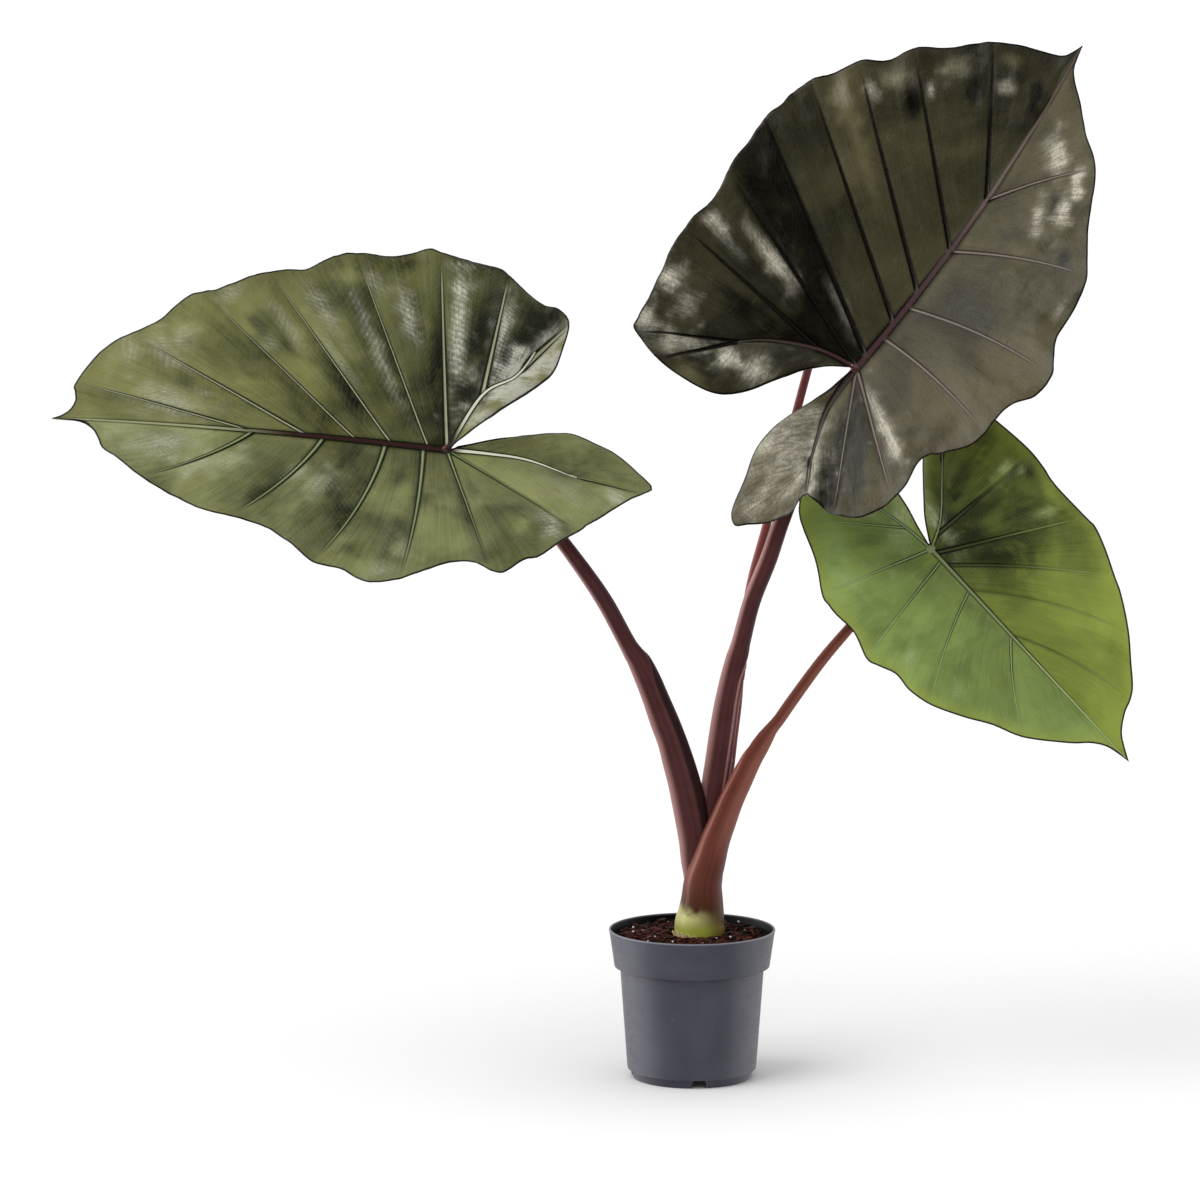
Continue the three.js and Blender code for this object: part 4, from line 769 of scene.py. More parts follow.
class Half:
    """One half of a blade. q is a line's row number in the table, with fractions for the lines between."""

    def __init__(self, leaf, table, side):
        self.leaf = leaf
        self.table = table
        self.side = side
        self.rows = table["rows"]
        self.rib = smooth_run(table["lobe_rib"], LOBE_RIB_STEPS)
        roots = [row[0] for row in self.rows]
        deepest = min(roots)
        self.fan_start = roots.index(deepest)
        self.fan_end = max(i for i, root in enumerate(roots) if root == deepest)
        self.joint_start = next(i for i in range(self.fan_end, len(roots)) if roots[i] == 0)
        self.joint_end = max(i for i, root in enumerate(roots) if root == 0)
        self.last = len(roots) - 1
        self.veins = [self.vein_line(phase) for phase in range(1, round(self.rows[-1][3]))]
        self.puckers, self.patches, self.painted_highlights = (
            [(*self.spot(phase, t), *rest) for phase, t, *rest in table[key]]
            for key in ("puckers", "patches", "painted_highlights")
        )

    def spot(self, phase, t):
        """A place on the blade and the direction that the lines run in there."""
        q = self.q_of_phase(phase)
        centre = Vector(self.point(q, t)[:2])
        run = Vector(self.point(q, t + SPOT_STEP)[:2]) - centre
        return centre, run.normalized()

    def margin(self, q):
        """A line's root, its margin's place along and across the blade, and its phase."""
        i = min(int(q), self.last - 1)
        here, ahead = self.rows[i], self.rows[i + 1]
        along, across = along_rows([row[1:3] for row in self.rows], q)
        return lerp(here[0], ahead[0], q - i), along, across, lerp(here[3], ahead[3], q - i)

    def margins_beside(self, q, step):
        return self.margin(max(q - step, 0)), self.margin(min(q + step, self.last))

    def root_point(self, root):
        if root >= 0:
            return root, spine_across(self.leaf, root)
        rest = -root
        for here, ahead in zip(self.rib, self.rib[1:]):
            step = math.dist(here, ahead)
            if rest <= step or ahead is self.rib[-1]:
                f = min(rest / step, 1)
                return lerp(here[0], ahead[0], f), lerp(here[1], ahead[1], f)
            rest -= step
        return 0.0, 0.0

    def point(self, q, t):
        root, along, across, phase = self.margin(q)
        start_a, start_b = self.root_point(root)
        da, db = along - start_a, across - start_b
        bend = self.table["curve"] * smoothstep(root, 0, BEND_FROM) * self.side * 2 * t * (1 - t)
        return start_a + da * t + bend * db, start_b + db * t - bend * da, phase

    def q_of_phase(self, phase):
        i = max(k for k, row in enumerate(self.rows[:-1]) if row[3] <= phase)
        return i + (phase - self.rows[i][3]) / (self.rows[i + 1][3] - self.rows[i][3])

    def q_of_root(self, root, first, last):
        """The row number of a root in a stretch of rows whose roots only grow or only shrink."""
        for i in range(first, last):
            here, ahead = self.rows[i][0], self.rows[i + 1][0]
            if min(here, ahead) <= root <= max(here, ahead) and here != ahead:
                return i + (root - here) / (ahead - here)
        return last

    def margin_length(self, q):
        """Length of margin for one row number."""
        behind, ahead = self.margins_beside(q, LENGTH_STEP)
        return max(math.dist(behind[1:3], ahead[1:3]) / (2 * LENGTH_STEP), 1)

    def span(self, q):
        return max(math.dist(self.point(q, 0)[:2], self.point(q, 1)[:2]), 0.1)

    def margin_line(self, q):
        """The margin's point and its direction there."""
        behind, ahead = self.margins_beside(q, MARGIN_STEP)
        run = Vector((ahead[1] - behind[1], ahead[2] - behind[2]))
        return Vector(self.margin(q)[1:3]), run.normalized()

    def vein_line(self, phase):
        """Points and directions of a lateral vein, ring by ring."""
        q = self.q_of_phase(phase)
        span = self.span(q)
        line = []
        for t in (ring_t(ring, span) for ring in range(RINGS + 1)):
            here = self.point(q, t)
            behind = self.point(q, max(t - VEIN_STEP, 0))
            ahead = self.point(q, min(t + VEIN_STEP, 1))
            line.append((here[0], here[1], ahead[0] - behind[0], ahead[1] - behind[1]))
        return line

    def vein_gap(self, a, b, phase, ring):
        """Distance to the nearest lateral vein."""
        best = NOWHERE
        for number in (math.floor(phase), math.ceil(phase)):
            if not 1 <= number <= len(self.veins):
                continue
            x, y, dx, dy = self.veins[number - 1][ring]
            size = max(math.hypot(dx, dy), 1e-6)
            beside = ((a - x) * dy - (b - y) * dx) / size
            beyond = max(abs((a - x) * dx + (b - y) * dy) / size - VEIN_REACH, 0)
            best = min(best, math.hypot(beside, beyond) / self.table["thick"][number - 1])
        return best

    def rib_gap(self, a, b):
        """Distance to the midrib or the rib of the lobe, as a multiple of its half width there."""
        if a >= 0:
            half_width = lerp(MIDRIB_HALF, MIDRIB_TIP_HALF, a / self.leaf["length"])
            gap = abs(b - spine_across(self.leaf, a)) / half_width
        else:
            gap = math.hypot(a, b) / MIDRIB_HALF
        done = 0.0
        whole = sum(math.dist(*pair) for pair in zip(self.rib, self.rib[1:]))
        for here, ahead in zip(self.rib, self.rib[1:]):
            step = math.dist(here, ahead)
            da, db = ahead[0] - here[0], ahead[1] - here[1]
            f = clamp(((a - here[0]) * da + (b - here[1]) * db) / step / step)
            half_width = lerp(LOBE_RIB_HALF, LOBE_RIB_TIP_HALF, (done + f * step) / whole)
            gap = min(gap, math.hypot(a - here[0] - da * f, b - here[1] - db * f) / half_width)
            done += step
        return gap

    def wanted(self):
        """Row numbers at even steps of the margin, and close ones beside each lateral vein."""
        marks, centres = [], []
        for i in range(self.last):
            step = math.dist(self.rows[i][1:3], self.rows[i + 1][1:3])
            count = max(1, math.ceil(step / COLUMN_STEP))
            marks += [i + k / count for k in range(count)]
        for phase in range(1, len(self.veins) + 1):
            q = self.q_of_phase(phase)
            length = self.margin_length(q)
            centres += [q + offset / length for offset in VEIN_COLUMNS]
        return marks, [q for q in centres if 0 < q < self.last]


def ring_t(ring, span):
    """The first rings cross the rib at fixed distances. The others lie closer at both ends of the line."""
    near = min(NEAR_RINGS[-1] / span, 0.5)
    if ring < len(NEAR_RINGS):
        return near * NEAR_RINGS[ring] / NEAR_RINGS[-1]
    first = len(NEAR_RINGS) - 1
    u = (ring - first) / (RINGS - first)
    return near + (1 - near) * (u - RING_CROWDING * math.sin(2 * math.pi * u) / (2 * math.pi))


def spine_across(leaf, a):
    q = clamp(a / leaf["length"])
    return leaf["bow"] * 4 * q * (1 - q)


def set_up(leaf):
    """Adds the leaf's own axes: along the midrib, across it, and up out of its face."""
    leaf["origin"] = Vector(leaf["attach"])
    along = Vector(leaf["tip"]) - leaf["origin"]
    leaf["length"] = along.length
    leaf["along"] = along.normalized()
    face = Vector(leaf["face"])
    leaf["up"] = (face - leaf["along"] * face.dot(leaf["along"])).normalized()
    leaf["across"] = leaf["up"].cross(leaf["along"])


def blade_height(half, a, b, t, phase, out):
    """The broad form: a rounded fold, a drooping midrib, falling lobes, arched panels, a waved margin."""
    leaf = half.leaf
    panels, lift = half.table["panels"], half.table["lift"]
    length = leaf["length"]
    off = b - spine_across(leaf, a)
    q = clamp(a / length)
    eased = 1 - leaf["lobe_fold"] * clamp(-a / LOBE_FOLD_REACH)
    slope = math.tan(math.radians(half.table["fold"])) * eased
    fold = slope * (math.hypot(off, leaf["fold_width"]) - leaf["fold_width"])
    puff = abs(math.sin(math.pi * phase)) ** ARCH_SHAPE
    panel = min(int(phase), len(panels) - 1)
    arch = leaf["pleat"] * panels[panel][2] * puff * (1 - (1 - t) ** 2) * (1 - 0.7 * t ** 3)
    arch += lerp(*lift[panel:panel + 2], smoothstep(phase - panel, 0, 1)) * clamp(out / LIFT_REACH)
    wave = leaf["wave"] * t ** 4 * math.sin(2 * math.pi * phase + WAVE_SHIFT)
    taper = 1 - smoothstep(a, FORM_TAPER * length, length)
    back = clamp(-a / LOBE_DROP_REACH, 0, 3)
    return fold + 4 * leaf["droop"] * q * (1 - q) - leaf["lobe_back"] * back * back + (arch + wave) * taper


def blade_relief(half, a, b, t, phase, vein):
    """The fine form of the panels: crinkles and ripples between the veins, and the listed puckers."""
    leaf = half.leaf
    seed = leaf["seed"]
    spot = Vector((a, b, seed))
    panel = smoothstep(vein, 1.5, 14) * smoothstep(t, 0.02, 0.25)
    crinkle = noise.noise(spot / CRINKLE_SIZE) + FINE_CRINKLE * noise.noise(spot / FINE_CRINKLE_SIZE)
    relief = leaf["crinkle"] * panel * crinkle * (0.2 + 0.8 * t * t)
    ripple = noise.noise(Vector((phase * RIPPLES[0], t * RIPPLES[1], seed)))
    ripple += FINE_RIPPLE * noise.noise(Vector((phase * FINE_RIPPLES[0], t * FINE_RIPPLES[1], 0)))
    relief += leaf["ripple"] * panel * ripple * smoothstep(t, 0.1, 0.8)
    for centre, run, wide, tall in half.puckers:
        off = Vector((a, b)) - centre
        gap = math.hypot(off.dot(run) / (PUCKER_LENGTH * wide), off.cross(run) / (PUCKER_WIDTH * wide))
        if gap < PUCKER_LIMIT:
            relief += tall * math.exp(-gap * gap * PUCKER_FALL) * smoothstep(t, 0, 0.1)
    return relief * (1 - smoothstep(a, RELIEF_TAPER * leaf["length"], leaf["length"]))


def ridge_height(half, t, vein, rib):
    """How far the veins and ribs stand out above, vein and rib being in half widths of those."""
    fade = smoothstep(t, 0, 0.04) * (1 - 0.85 * smoothstep(t, 0.6, 1))
    ridge = half.table["vein_relief"] * fade * bell(vein, RIDGE_BREADTH)
    return ridge + half.leaf["midrib_relief"] * bell(rib, 1.0) * (1 - smoothstep(t, 0.3, 0.6))


def blade_depth(half, a, t, vein, rib):
    """Thickness of the blade with the veins and ribs below, without those above."""
    depth = lerp(BLADE_THICKNESS, MARGIN_THICKNESS, smoothstep(t, THIN_FROM, 1))
    depth += VEIN_DEPTH * (1 - t) * smoothstep(t, 0, 0.04) * bell(vein, VEIN_BREADTH)
    reach = 1 - clamp(max(a, 0) / half.leaf["length"])
    return depth + MIDRIB_DEPTH * (0.2 + 0.8 * reach) * bell(rib, MIDRIB_BREADTH, 4)


def tone_at(half, a, b, phase, t):
    """The panel's tone, from rib to margin, partly its own colour and partly painted reflection and shade,
    blended over its veins, with painted light and shade across the panel and lighter and darker patches.
    """
    panels = half.table["panels"]
    x = clamp(phase - 0.5, 0, len(panels) - 1.001)
    i = int(x)
    here, ahead = (lerp(near, far, t) for near, far, _ in panels[i:i + 2])
    tone = lerp(here, ahead, smoothstep(x - i, 0.38, 0.62))
    # Painted shade on one side of each panel and painted light on the other.
    tone += half.table["skew"] * (phase % 1 - 0.5) * 4 * t * (1 - t)
    return tone + marks_at(half, half.patches, a, b)


def marks_at(half, marks, a, b):
    """Strength of the soft-edged marks: each a centre, a direction, half length, half width and strength."""
    total = 0.0
    spot = Vector((a, b))
    uneven = 1
    for size, part in MARK_UNEVEN:
        uneven += part * noise.noise(Vector((a / size, b / size, half.leaf["seed"])))
    for centre, run, long, wide, strength in marks:
        off = spot - centre
        gap = math.hypot(off.dot(run) / long, off.cross(run) / wide) * uneven
        if gap < MARK_LIMIT:
            total += strength * math.exp(-MARK_FALL * gap * gap)
    return total


def shared_columns(halves):
    """Column roots shared by both sides of each rib, so that the halves and lobes meet point to point."""
    body_marks, body_centres = [], []
    lobes = []
    for half in halves:
        marks, centres = half.wanted()
        body_marks += [half.margin(q)[0] for q in marks if q > half.joint_end]
        body_centres += [half.margin(q)[0] for q in centres if q > half.joint_end]
        inner = [half.margin(q)[0] for q in marks + centres if q < half.fan_start]
        outer = [half.margin(q)[0] for q in marks + centres if half.fan_end < q < half.joint_start]
        lobes.append(thinned(inner + outer, [], lambda r, s: abs(r - s) * 1.5))

    def spread(*roots):
        ends = []
        for half in halves:
            pair = [half.margin(half.q_of_root(root, half.joint_end, half.last)) for root in roots]
            ends.append(math.dist(pair[0][1:3], pair[1][1:3]))
        return max(ends)

    return thinned(body_marks + body_centres, body_centres, spread), lobes


def thinned(roots, kept, spread):
    """Sorted roots without the ones that lie very close to the one before."""
    kept = set(kept)
    result = []
    for root in sorted(set(roots)):
        if not result or root in kept or spread(result[-1], root) >= LEAST_COLUMN:
            result.append(root)
    return result


def half_columns(half, body, lobe):
    """Row numbers of the half's columns, from the sinus to the tip."""
    marks, centres = half.wanted()
    everywhere = marks + centres
    columns = {0, half.fan_start, half.fan_end, half.joint_start, half.joint_end, half.last}
    columns.update(half.q_of_root(root, 0, half.fan_start) for root in lobe)
    columns.update(q for q in everywhere if half.fan_start < q < half.fan_end)
    columns.update(half.q_of_root(root, half.fan_end, half.joint_start) for root in lobe)
    columns.update(q for q in everywhere if half.joint_start < q < half.joint_end)
    columns.update(half.q_of_root(root, half.joint_end, half.last) for root in body)
    return sorted(columns)


def build_blade(name, leaf, material, slot, node):
    """A blade: its upper side as a grid for each half, and its underside drawn down from that."""
    set_up(leaf)
    halves = [Half(leaf, leaf["plus"], 1), Half(leaf, leaf["minus"], -1)]
    body, lobes = shared_columns(halves)
    bm = bmesh.new()
    layer = {key: bm.verts.layers.float.new(key) for key in LEAF_LAYERS}
    flow = bm.verts.layers.float_vector.new("flow")
    for half, lobe in zip(halves, lobes):
        columns = half_columns(half, body, lobe)
        edges = [half.margin_line(q) for q in columns]
        spans = [half.span(q) for q in columns]

        def place(vert, column, ring):
            t = ring_t(ring, spans[column])
            out = spans[column] * t
            a, b, phase = half.point(columns[column], t)
            vein = half.vein_gap(a, b, phase, ring) if ring else NOWHERE
            rib = half.rib_gap(a, b) / leaf["rib_width"] if ring else 0.0
            vein_half = lerp(VEIN_HALF, VEIN_TIP_HALF, t)
            margin, run = edges[column]
            ridge = ridge_height(half, t, vein / vein_half, rib)
            top = blade_height(half, a, b, t, phase, out) + blade_relief(half, a, b, t, phase, vein) + ridge
            vert.co = (leaf["origin"] + leaf["along"] * a + leaf["across"] * b + leaf["up"] * top) * MM
            vert[layer["lateral"]] = min(vein / vein_half, FAR)
            vert[layer["rib"]] = min(rib, FAR)
            vert[layer["spine"]] = a / leaf["length"]
            vert[layer["edge"]] = abs((Vector((a, b)) - margin).cross(run))
            vert[layer["tone"]] = tone_at(half, a, b, phase, t)
            vert[layer["painted_sheen"]] = marks_at(half, half.painted_highlights, a, b)
            vert[layer["depth"]] = blade_depth(half, a, t, vein, rib) + ridge
            vert[flow] = Vector((phase + SIDE_PHASE * half.side, t, out / 100))

        moved_grid(bm, len(columns) - 1, RINGS, place)
    bmesh.ops.remove_doubles(bm, verts=bm.verts[:], dist=BLADE_WELD)
    bmesh.ops.dissolve_degenerate(bm, dist=WELD, edges=bm.edges[:])
    made = bmesh.ops.extrude_face_region(bm, geom=bm.faces[:], use_keep_orig=True)
    for vert in (item for item in made["geom"] if isinstance(item, bmesh.types.BMVert)):
        vert.co -= leaf["up"] * vert[layer["depth"]] * MM
        vert[layer["under"]] = 1.0
    finished(name, bm, material, slot, node)
    build_knob(f"{name}_joint", leaf, material, slot, node)


def build_knob(name, leaf, material, slot, node):
    """The swollen joint where the stalk meets the blade."""
    bm = bmesh.new()
    bmesh.ops.create_icosphere(bm, subdivisions=4, radius=KNOB_RADIUS * MM)
    layers = [bm.verts.layers.float.new(key) for key in KNOB_SKIN]
    centre = leaf["origin"] - leaf["up"] * KNOB_DROP
    for vert in bm.verts:
        vert.co -= leaf["up"] * vert.co.dot(leaf["up"]) * KNOB_FLATNESS
        vert.co += centre * MM
        for layer, value in zip(layers, KNOB_SKIN.values()):
            vert[layer] = value
    finished(name, bm, material, slot, node)


def hollow_at(rows, z):
    """The open side of a sheath at a height: [x, y, half width, half depth], or None above and below it."""
    for here, ahead in zip(rows, rows[1:]):
        if here[2] <= z <= ahead[2]:
            f = (z - here[2]) / (ahead[2] - here[2])
            return [lerp(here[k], ahead[k], f) for k in (0, 1, 3, 4)]
    return None


def enter(centre, reach, hole):
    """How far along reach a point leaves centre before it enters the hole, from 0 to 1."""
    dx, dy = reach[0] / hole[2], reach[1] / hole[3]
    x, y = (centre[0] - hole[0]) / hole[2], (centre[1] - hole[1]) / hole[3]
    a, b, c = dx * dx + dy * dy, x * dx + y * dy, x * x + y * y - 1
    inside = b * b - a * c
    if a == 0 or inside <= 0 or c <= 0:
        return 1.0
    first = (-b - math.sqrt(inside)) / a
    return first if 0 < first < 1 else 1.0


def section(run, row, angle):
    """The centre of a rod at one row, and the way from there to its skin at an angle round it."""
    here, behind, ahead = run[row], run[max(row - 1, 0)], run[min(row + 1, len(run) - 1)]
    along = (Vector(ahead[:3]) - Vector(behind[:3])).normalized()
    deep = (Vector((0, 1, 0)) - along * along.y).normalized()
    wide = deep.cross(along)
    return Vector(here[:3]), wide * here[3] * math.cos(angle) + deep * here[4] * math.sin(angle)


def build_stalk(name, rows, sheath, material, slot, node, end=None, edge=None):
    """A stalk of oval section. Its sheath's open side is pressed in, and its free edge is thin, with a
    painted highlight along it and along the rim of the open side.

    end is the blade's joint, and edge is described where the edges are listed.
    """
    if end is not None:
        rows = [*rows, [*end, rows[-1][3] + STALK_FLARE, rows[-1][4] + STALK_FLARE]]
    run = smooth_run(rows, STALK_STEPS)
    bm = bmesh.new()
    rim, inner, wing = (bm.verts.layers.float.new(key) for key in ("rim", "inner", "wing"))
    flow = bm.verts.layers.float_vector.new("flow")
    lengths = [0.0]
    for here, ahead in zip(run, run[1:]):
        lengths.append(lengths[-1] + math.dist(here[:3], ahead[:3]))

    def place(vert, column, row):
        angle = 2 * math.pi * column / STALK_SIDES
        centre, reach = section(run, row, angle)
        hole = hollow_at(sheath, centre.z) if sheath else None
        press = 1.0
        if hole:
            press = enter(centre, reach, hole)
            spot = centre + reach
            ring = math.hypot((spot.x - hole[0]) / hole[2], (spot.y - hole[1]) / hole[3])
            vert[rim] = bell(ring - HOLLOW_RIM, HOLLOW_RIM_WIDTH) if press == 1.0 else 0.0
            vert[inner] = 0.0 if press == 1.0 else 1.0
        if edge is not None:
            tip, side, pale, dark = edge
            across = math.cos(angle) * math.copysign(1, side)
            line = lerp(abs(side), EDGE_END, smoothstep(centre.z, tip - EDGE_TAPER, tip))
            front = smoothstep(-math.sin(angle), *EDGE_FADE)
            near = bell(across - line, EDGE_WIDTH) * front
            vert[rim] = max(vert[rim], near * pale)
            vert[wing] = smoothstep(across, line, line + WING_WIDTH) * front * dark
            press *= 1 - EDGE_GROOVE * near
        vert.co = (centre + reach * press) * MM
        vert[flow] = Vector((math.cos(angle), math.sin(angle), lengths[row] * MM))

    moved_grid(bm, STALK_SIDES, len(run) - 1, place)
    close_tube(bm, bm.verts[:], ROD_WELD)
    finished(name, bm, material, slot, node, smooth_angle=60)


def build_rolled_blade(name, rows, material, slot, node):
    """The unopened leaf: a slim spear whose free edge winds round it."""
    run = smooth_run(rows, SPEAR_STEPS)
    steps = len(run) - 1
    bm = bmesh.new()
    flow = bm.verts.layers.float_vector.new("flow")
    rim = bm.verts.layers.float.new("rim")

    def place(vert, column, row):
        angle = 2 * math.pi * column / SPEAR_SIDES
        turn = (column / SPEAR_SIDES + SPEAR_TURNS * row / steps) % 1.0
        centre, reach = section(run, row, angle)
        vert.co = (centre + reach * (1 - SPEAR_STEP_IN + SPEAR_STEP_IN * turn)) * MM
        vert[rim] = smoothstep(turn, SPEAR_RIM_FROM, 1.0)
        vert[flow] = Vector((math.cos(angle), math.sin(angle), row / steps))

    moved_grid(bm, SPEAR_SIDES, steps, place)
    close_tube(bm, bm.verts[:], ROD_WELD)
    finished(name, bm, material, slot, node, smooth_angle=50)


def build_papery_scrap(material):
    """A torn strip of dead sheath round the lower left of the foot, with a ragged, curling upper edge."""
    across, along = PAPERY_GRID
    bm = bmesh.new()

    def place(vert, column, row):
        f, lift = column / across, row / along
        angle = math.radians(lerp(*PAPERY_TURN, f))
        tear = 1.2 * math.sin(f * 29.4) - 8 * abs(f - PAPERY_PEAK)
        tear += 0.9 * noise.noise(Vector((f * 23, 0, 3)))
        curl = 2.2 * lift * lift + 0.4 * lift * noise.noise(Vector((f * 9, lift * 2, 0)))
        x = CORM_CENTRE[0] + (PAPERY_HALF_WIDTH + curl) * math.cos(angle)
        y = CORM_CENTRE[1] + (PAPERY_HALF_DEPTH + curl) * math.sin(angle)
        vert.co = Vector((x, y, lerp(PAPERY_LOW, PAPERY_HIGH + tear, lift))) * MM

    moved_grid(bm, across, along, place)
    face_outward(bm)
    bmesh.ops.solidify(bm, geom=bm.faces[:], thickness=PAPERY_THICKNESS * MM)
    finished("papery_strip", bm, material, "papery_scrap", "papery_scrap", smooth_angle=50)


def pot_profile():
    """Half section of the pot wall, from the middle of the underside round to the middle of the inside."""
    floor = FOOT_HEIGHT + POT_WALL
    underside = [
        (0, 0), (PAD_RADIUS - 0.5, 0), (PAD_RADIUS, 0.4), (PAD_RADIUS + 1.4, FOOT_HEIGHT - 0.5),
        (PAD_RADIUS + 2.2, FOOT_HEIGHT), (FOOT_RADIUS - 3.6, FOOT_HEIGHT),
        (FOOT_RADIUS - 3, FOOT_HEIGHT - 0.6), (FOOT_RADIUS - 3, 0.8), (FOOT_RADIUS - 2.4, 0),
        (FOOT_RADIUS - 0.6, 0), (FOOT_RADIUS, 0.8), (FOOT_RADIUS + 1.2, FOOT_HEIGHT - 1.2),
        (FOOT_RADIUS + 1.7, FOOT_HEIGHT - 0.5), (BODY_BOTTOM_RADIUS - 0.7, FOOT_HEIGHT - 0.4),
    ]
    side = [
        (BODY_BOTTOM_RADIUS - 0.1, FOOT_HEIGHT + 0.2), (BODY_BOTTOM_RADIUS, FOOT_HEIGHT + 1.2),
        (BODY_BOTTOM_RADIUS + 0.2, FOOT_HEIGHT + 3), (BODY_TOP_RADIUS - 0.2, BAND_BOTTOM - 4),
        (BODY_TOP_RADIUS, BAND_BOTTOM - 1.8), (BODY_TOP_RADIUS + 0.7, BAND_BOTTOM - 1.1),
        (BAND_BOTTOM_RADIUS - 1.2, BAND_BOTTOM - 0.6), (BAND_BOTTOM_RADIUS - 0.2, BAND_BOTTOM),
        (BAND_BOTTOM_RADIUS, BAND_BOTTOM + 1.2), (RIM_RADIUS - 0.9, POT_HEIGHT - 5),
        (RIM_RADIUS - 0.3, POT_HEIGHT - 2.4), (RIM_RADIUS, POT_HEIGHT - 1.4),
    ]
    lip = [
        (RIM_RADIUS - 0.3, POT_HEIGHT - 0.4), (RIM_RADIUS - 1.1, POT_HEIGHT),
        (RIM_RADIUS - 2, POT_HEIGHT - 0.3), (RIM_RADIUS - 2.6, POT_HEIGHT - 1.6),
    ]
    inside = [
        (BAND_BOTTOM_RADIUS - POT_WALL, BAND_BOTTOM + POT_WALL), (BODY_TOP_RADIUS - POT_WALL, BAND_BOTTOM),
        (BODY_BOTTOM_RADIUS - POT_WALL, floor + 1), (BODY_BOTTOM_RADIUS - POT_WALL - 1, floor),
        (PAD_RADIUS - 0.6, floor), (PAD_RADIUS - 2, POT_WALL), (0, POT_WALL),
    ]
    return underside + side + lip + inside


def build_pot(outer_material, painted_shade_material):
    """The pot, with painted shade inside and in the recess of its foot as a darker copy of its plastic, with
    drain notches and drain holes.
    """
    bm = turned(pot_profile(), POT_STEPS)
    face_outward(bm)
    # Faces inside the pot and in the recess of its foot take the darker copy: painted shade.
    for face in bm.faces:
        centre = face.calc_center_median()
        inward = face.normal.x * centre.x + face.normal.y * centre.y < 0
        under_floor = 0.2 * MM < centre.z < (FOOT_HEIGHT + 0.1) * MM
        recess = under_floor and math.hypot(centre.x, centre.y) < (FOOT_RADIUS - 1) * MM
        face.material_index = 1 if inward or recess else 0
    pot = finished("nursery_pot", bm, outer_material, "pot", "pot")
    pot.data.materials.append(painted_shade_material)
    for k in range(4):
        turn = math.radians(NOTCH_TURN + 90 * k) - math.pi
        cut(pot, notch_block(), turn)
        cut(pot, drain_plug(), turn)
    pot.data.set_sharp_from_angle(angle=math.radians(POT_SHARP_ANGLE))


def notch_block():
    bm = bmesh.new()
    low, high = NOTCH_BOTTOM_WIDTH / 2 + 0.6, NOTCH_TOP_WIDTH / 2
    corners = [(-low, -2), (low, -2), (high, NOTCH_HEIGHT), (-high, NOTCH_HEIGHT)]
    face = bm.faces.new([bm.verts.new((x * MM, (FOOT_RADIUS - 10) * MM, z * MM)) for x, z in corners])
    made = bmesh.ops.extrude_face_region(bm, geom=[face], use_keep_orig=True)
    moved = [item for item in made["geom"] if isinstance(item, bmesh.types.BMVert)]
    bmesh.ops.translate(bm, verts=moved, vec=(0, 20 * MM, 0))
    return bm


def drain_plug():
    bm = bmesh.new()
    radius = DRAIN_RADIUS * MM
    made = bmesh.ops.create_cone(
        bm, cap_ends=True, segments=DRAIN_SIDES, radius1=radius, radius2=radius, depth=10 * MM,
    )
    bmesh.ops.translate(bm, verts=made["verts"], vec=(0, DRAIN_CIRCLE * MM, (FOOT_HEIGHT + 1) * MM))
    return bm


def cut(piece, bm, turn):
    """Takes the bmesh's shape, turned round the Z axis, out of the piece for good."""
    face_outward(bm)
    bmesh.ops.transform(bm, matrix=Matrix.Rotation(turn, 4, "Z"), verts=bm.verts[:])
    tool = in_scene("cutter", bm)
    modifier = piece.modifiers.new("cut", "BOOLEAN")
    modifier.operation = "DIFFERENCE"
    modifier.solver = "EXACT"
    modifier.object = tool
    bpy.context.view_layer.update()
    shaped = bpy.data.meshes.new_from_object(piece.evaluated_get(bpy.context.evaluated_depsgraph_get()))
    piece.modifiers.clear()
    old = piece.data
    piece.data = shaped
    bpy.data.meshes.remove(old)
    bpy.data.objects.remove(tool)


def soil_height(x, y):
    """Height of the loose top of the soil."""
    swell = math.sin(x * 0.31 + 1.7) * math.cos(y * 0.27 - 0.4)
    return SOIL_LEVEL + SOIL_SWELL * swell + SOIL_LUMPS * noise.noise(Vector((x, y, 0)) / SOIL_LUMP_SIZE)


def soil_spot(rng, inside):
    """A random place on the soil, clear of the foot of the plant and of the pot wall."""
    while True:
        x, y = rng.uniform(-inside, inside), rng.uniform(-inside, inside)
        foot = math.hypot((x - CORM_CENTRE[0]) / FOOT_CLEAR[0], (y - CORM_CENTRE[1]) / FOOT_CLEAR[1])
        if math.hypot(x, y) < inside and foot > 1:
            return x, y


def scatter(name, skin, shape, count, seed, inside, lift):
    """Many small pieces of one kind on the soil, joined in one mesh."""
    rng = random.Random(seed)
    whole = bmesh.new()
    for start in range(0, count, HANDFUL):
        bm = bmesh.new()
        for _ in range(min(HANDFUL, count - start)):
            x, y = soil_spot(rng, inside)
            verts = shape(bm, rng)
            spin = Matrix.Rotation(rng.uniform(0, 2 * math.pi), 4, "Z")
            tilt = Matrix.Rotation(rng.gauss(0, LOOSE_TILT), 4, "X")
            bmesh.ops.transform(bm, matrix=spin @ tilt, verts=verts)
            rest = Vector((x, y, soil_height(x, y) + lift + rng.uniform(0, LOOSE_RISE)))
            bmesh.ops.translate(bm, verts=verts, vec=rest * MM)
        handful = bpy.data.meshes.new("handful")
        bm.to_mesh(handful)
        bm.free()
        whole.from_mesh(handful)
        bpy.data.meshes.remove(handful)
    finished(name, whole, skin, "soil", smooth_angle=40)


def crumb(bm, rng):
    verts = bmesh.ops.create_icosphere(bm, subdivisions=1, radius=rng.uniform(*CRUMB_RADIUS) * MM)["verts"]
    for vert in verts:
        vert.co *= rng.uniform(0.7, 1.25)
        vert.co.z *= 0.8
    return verts


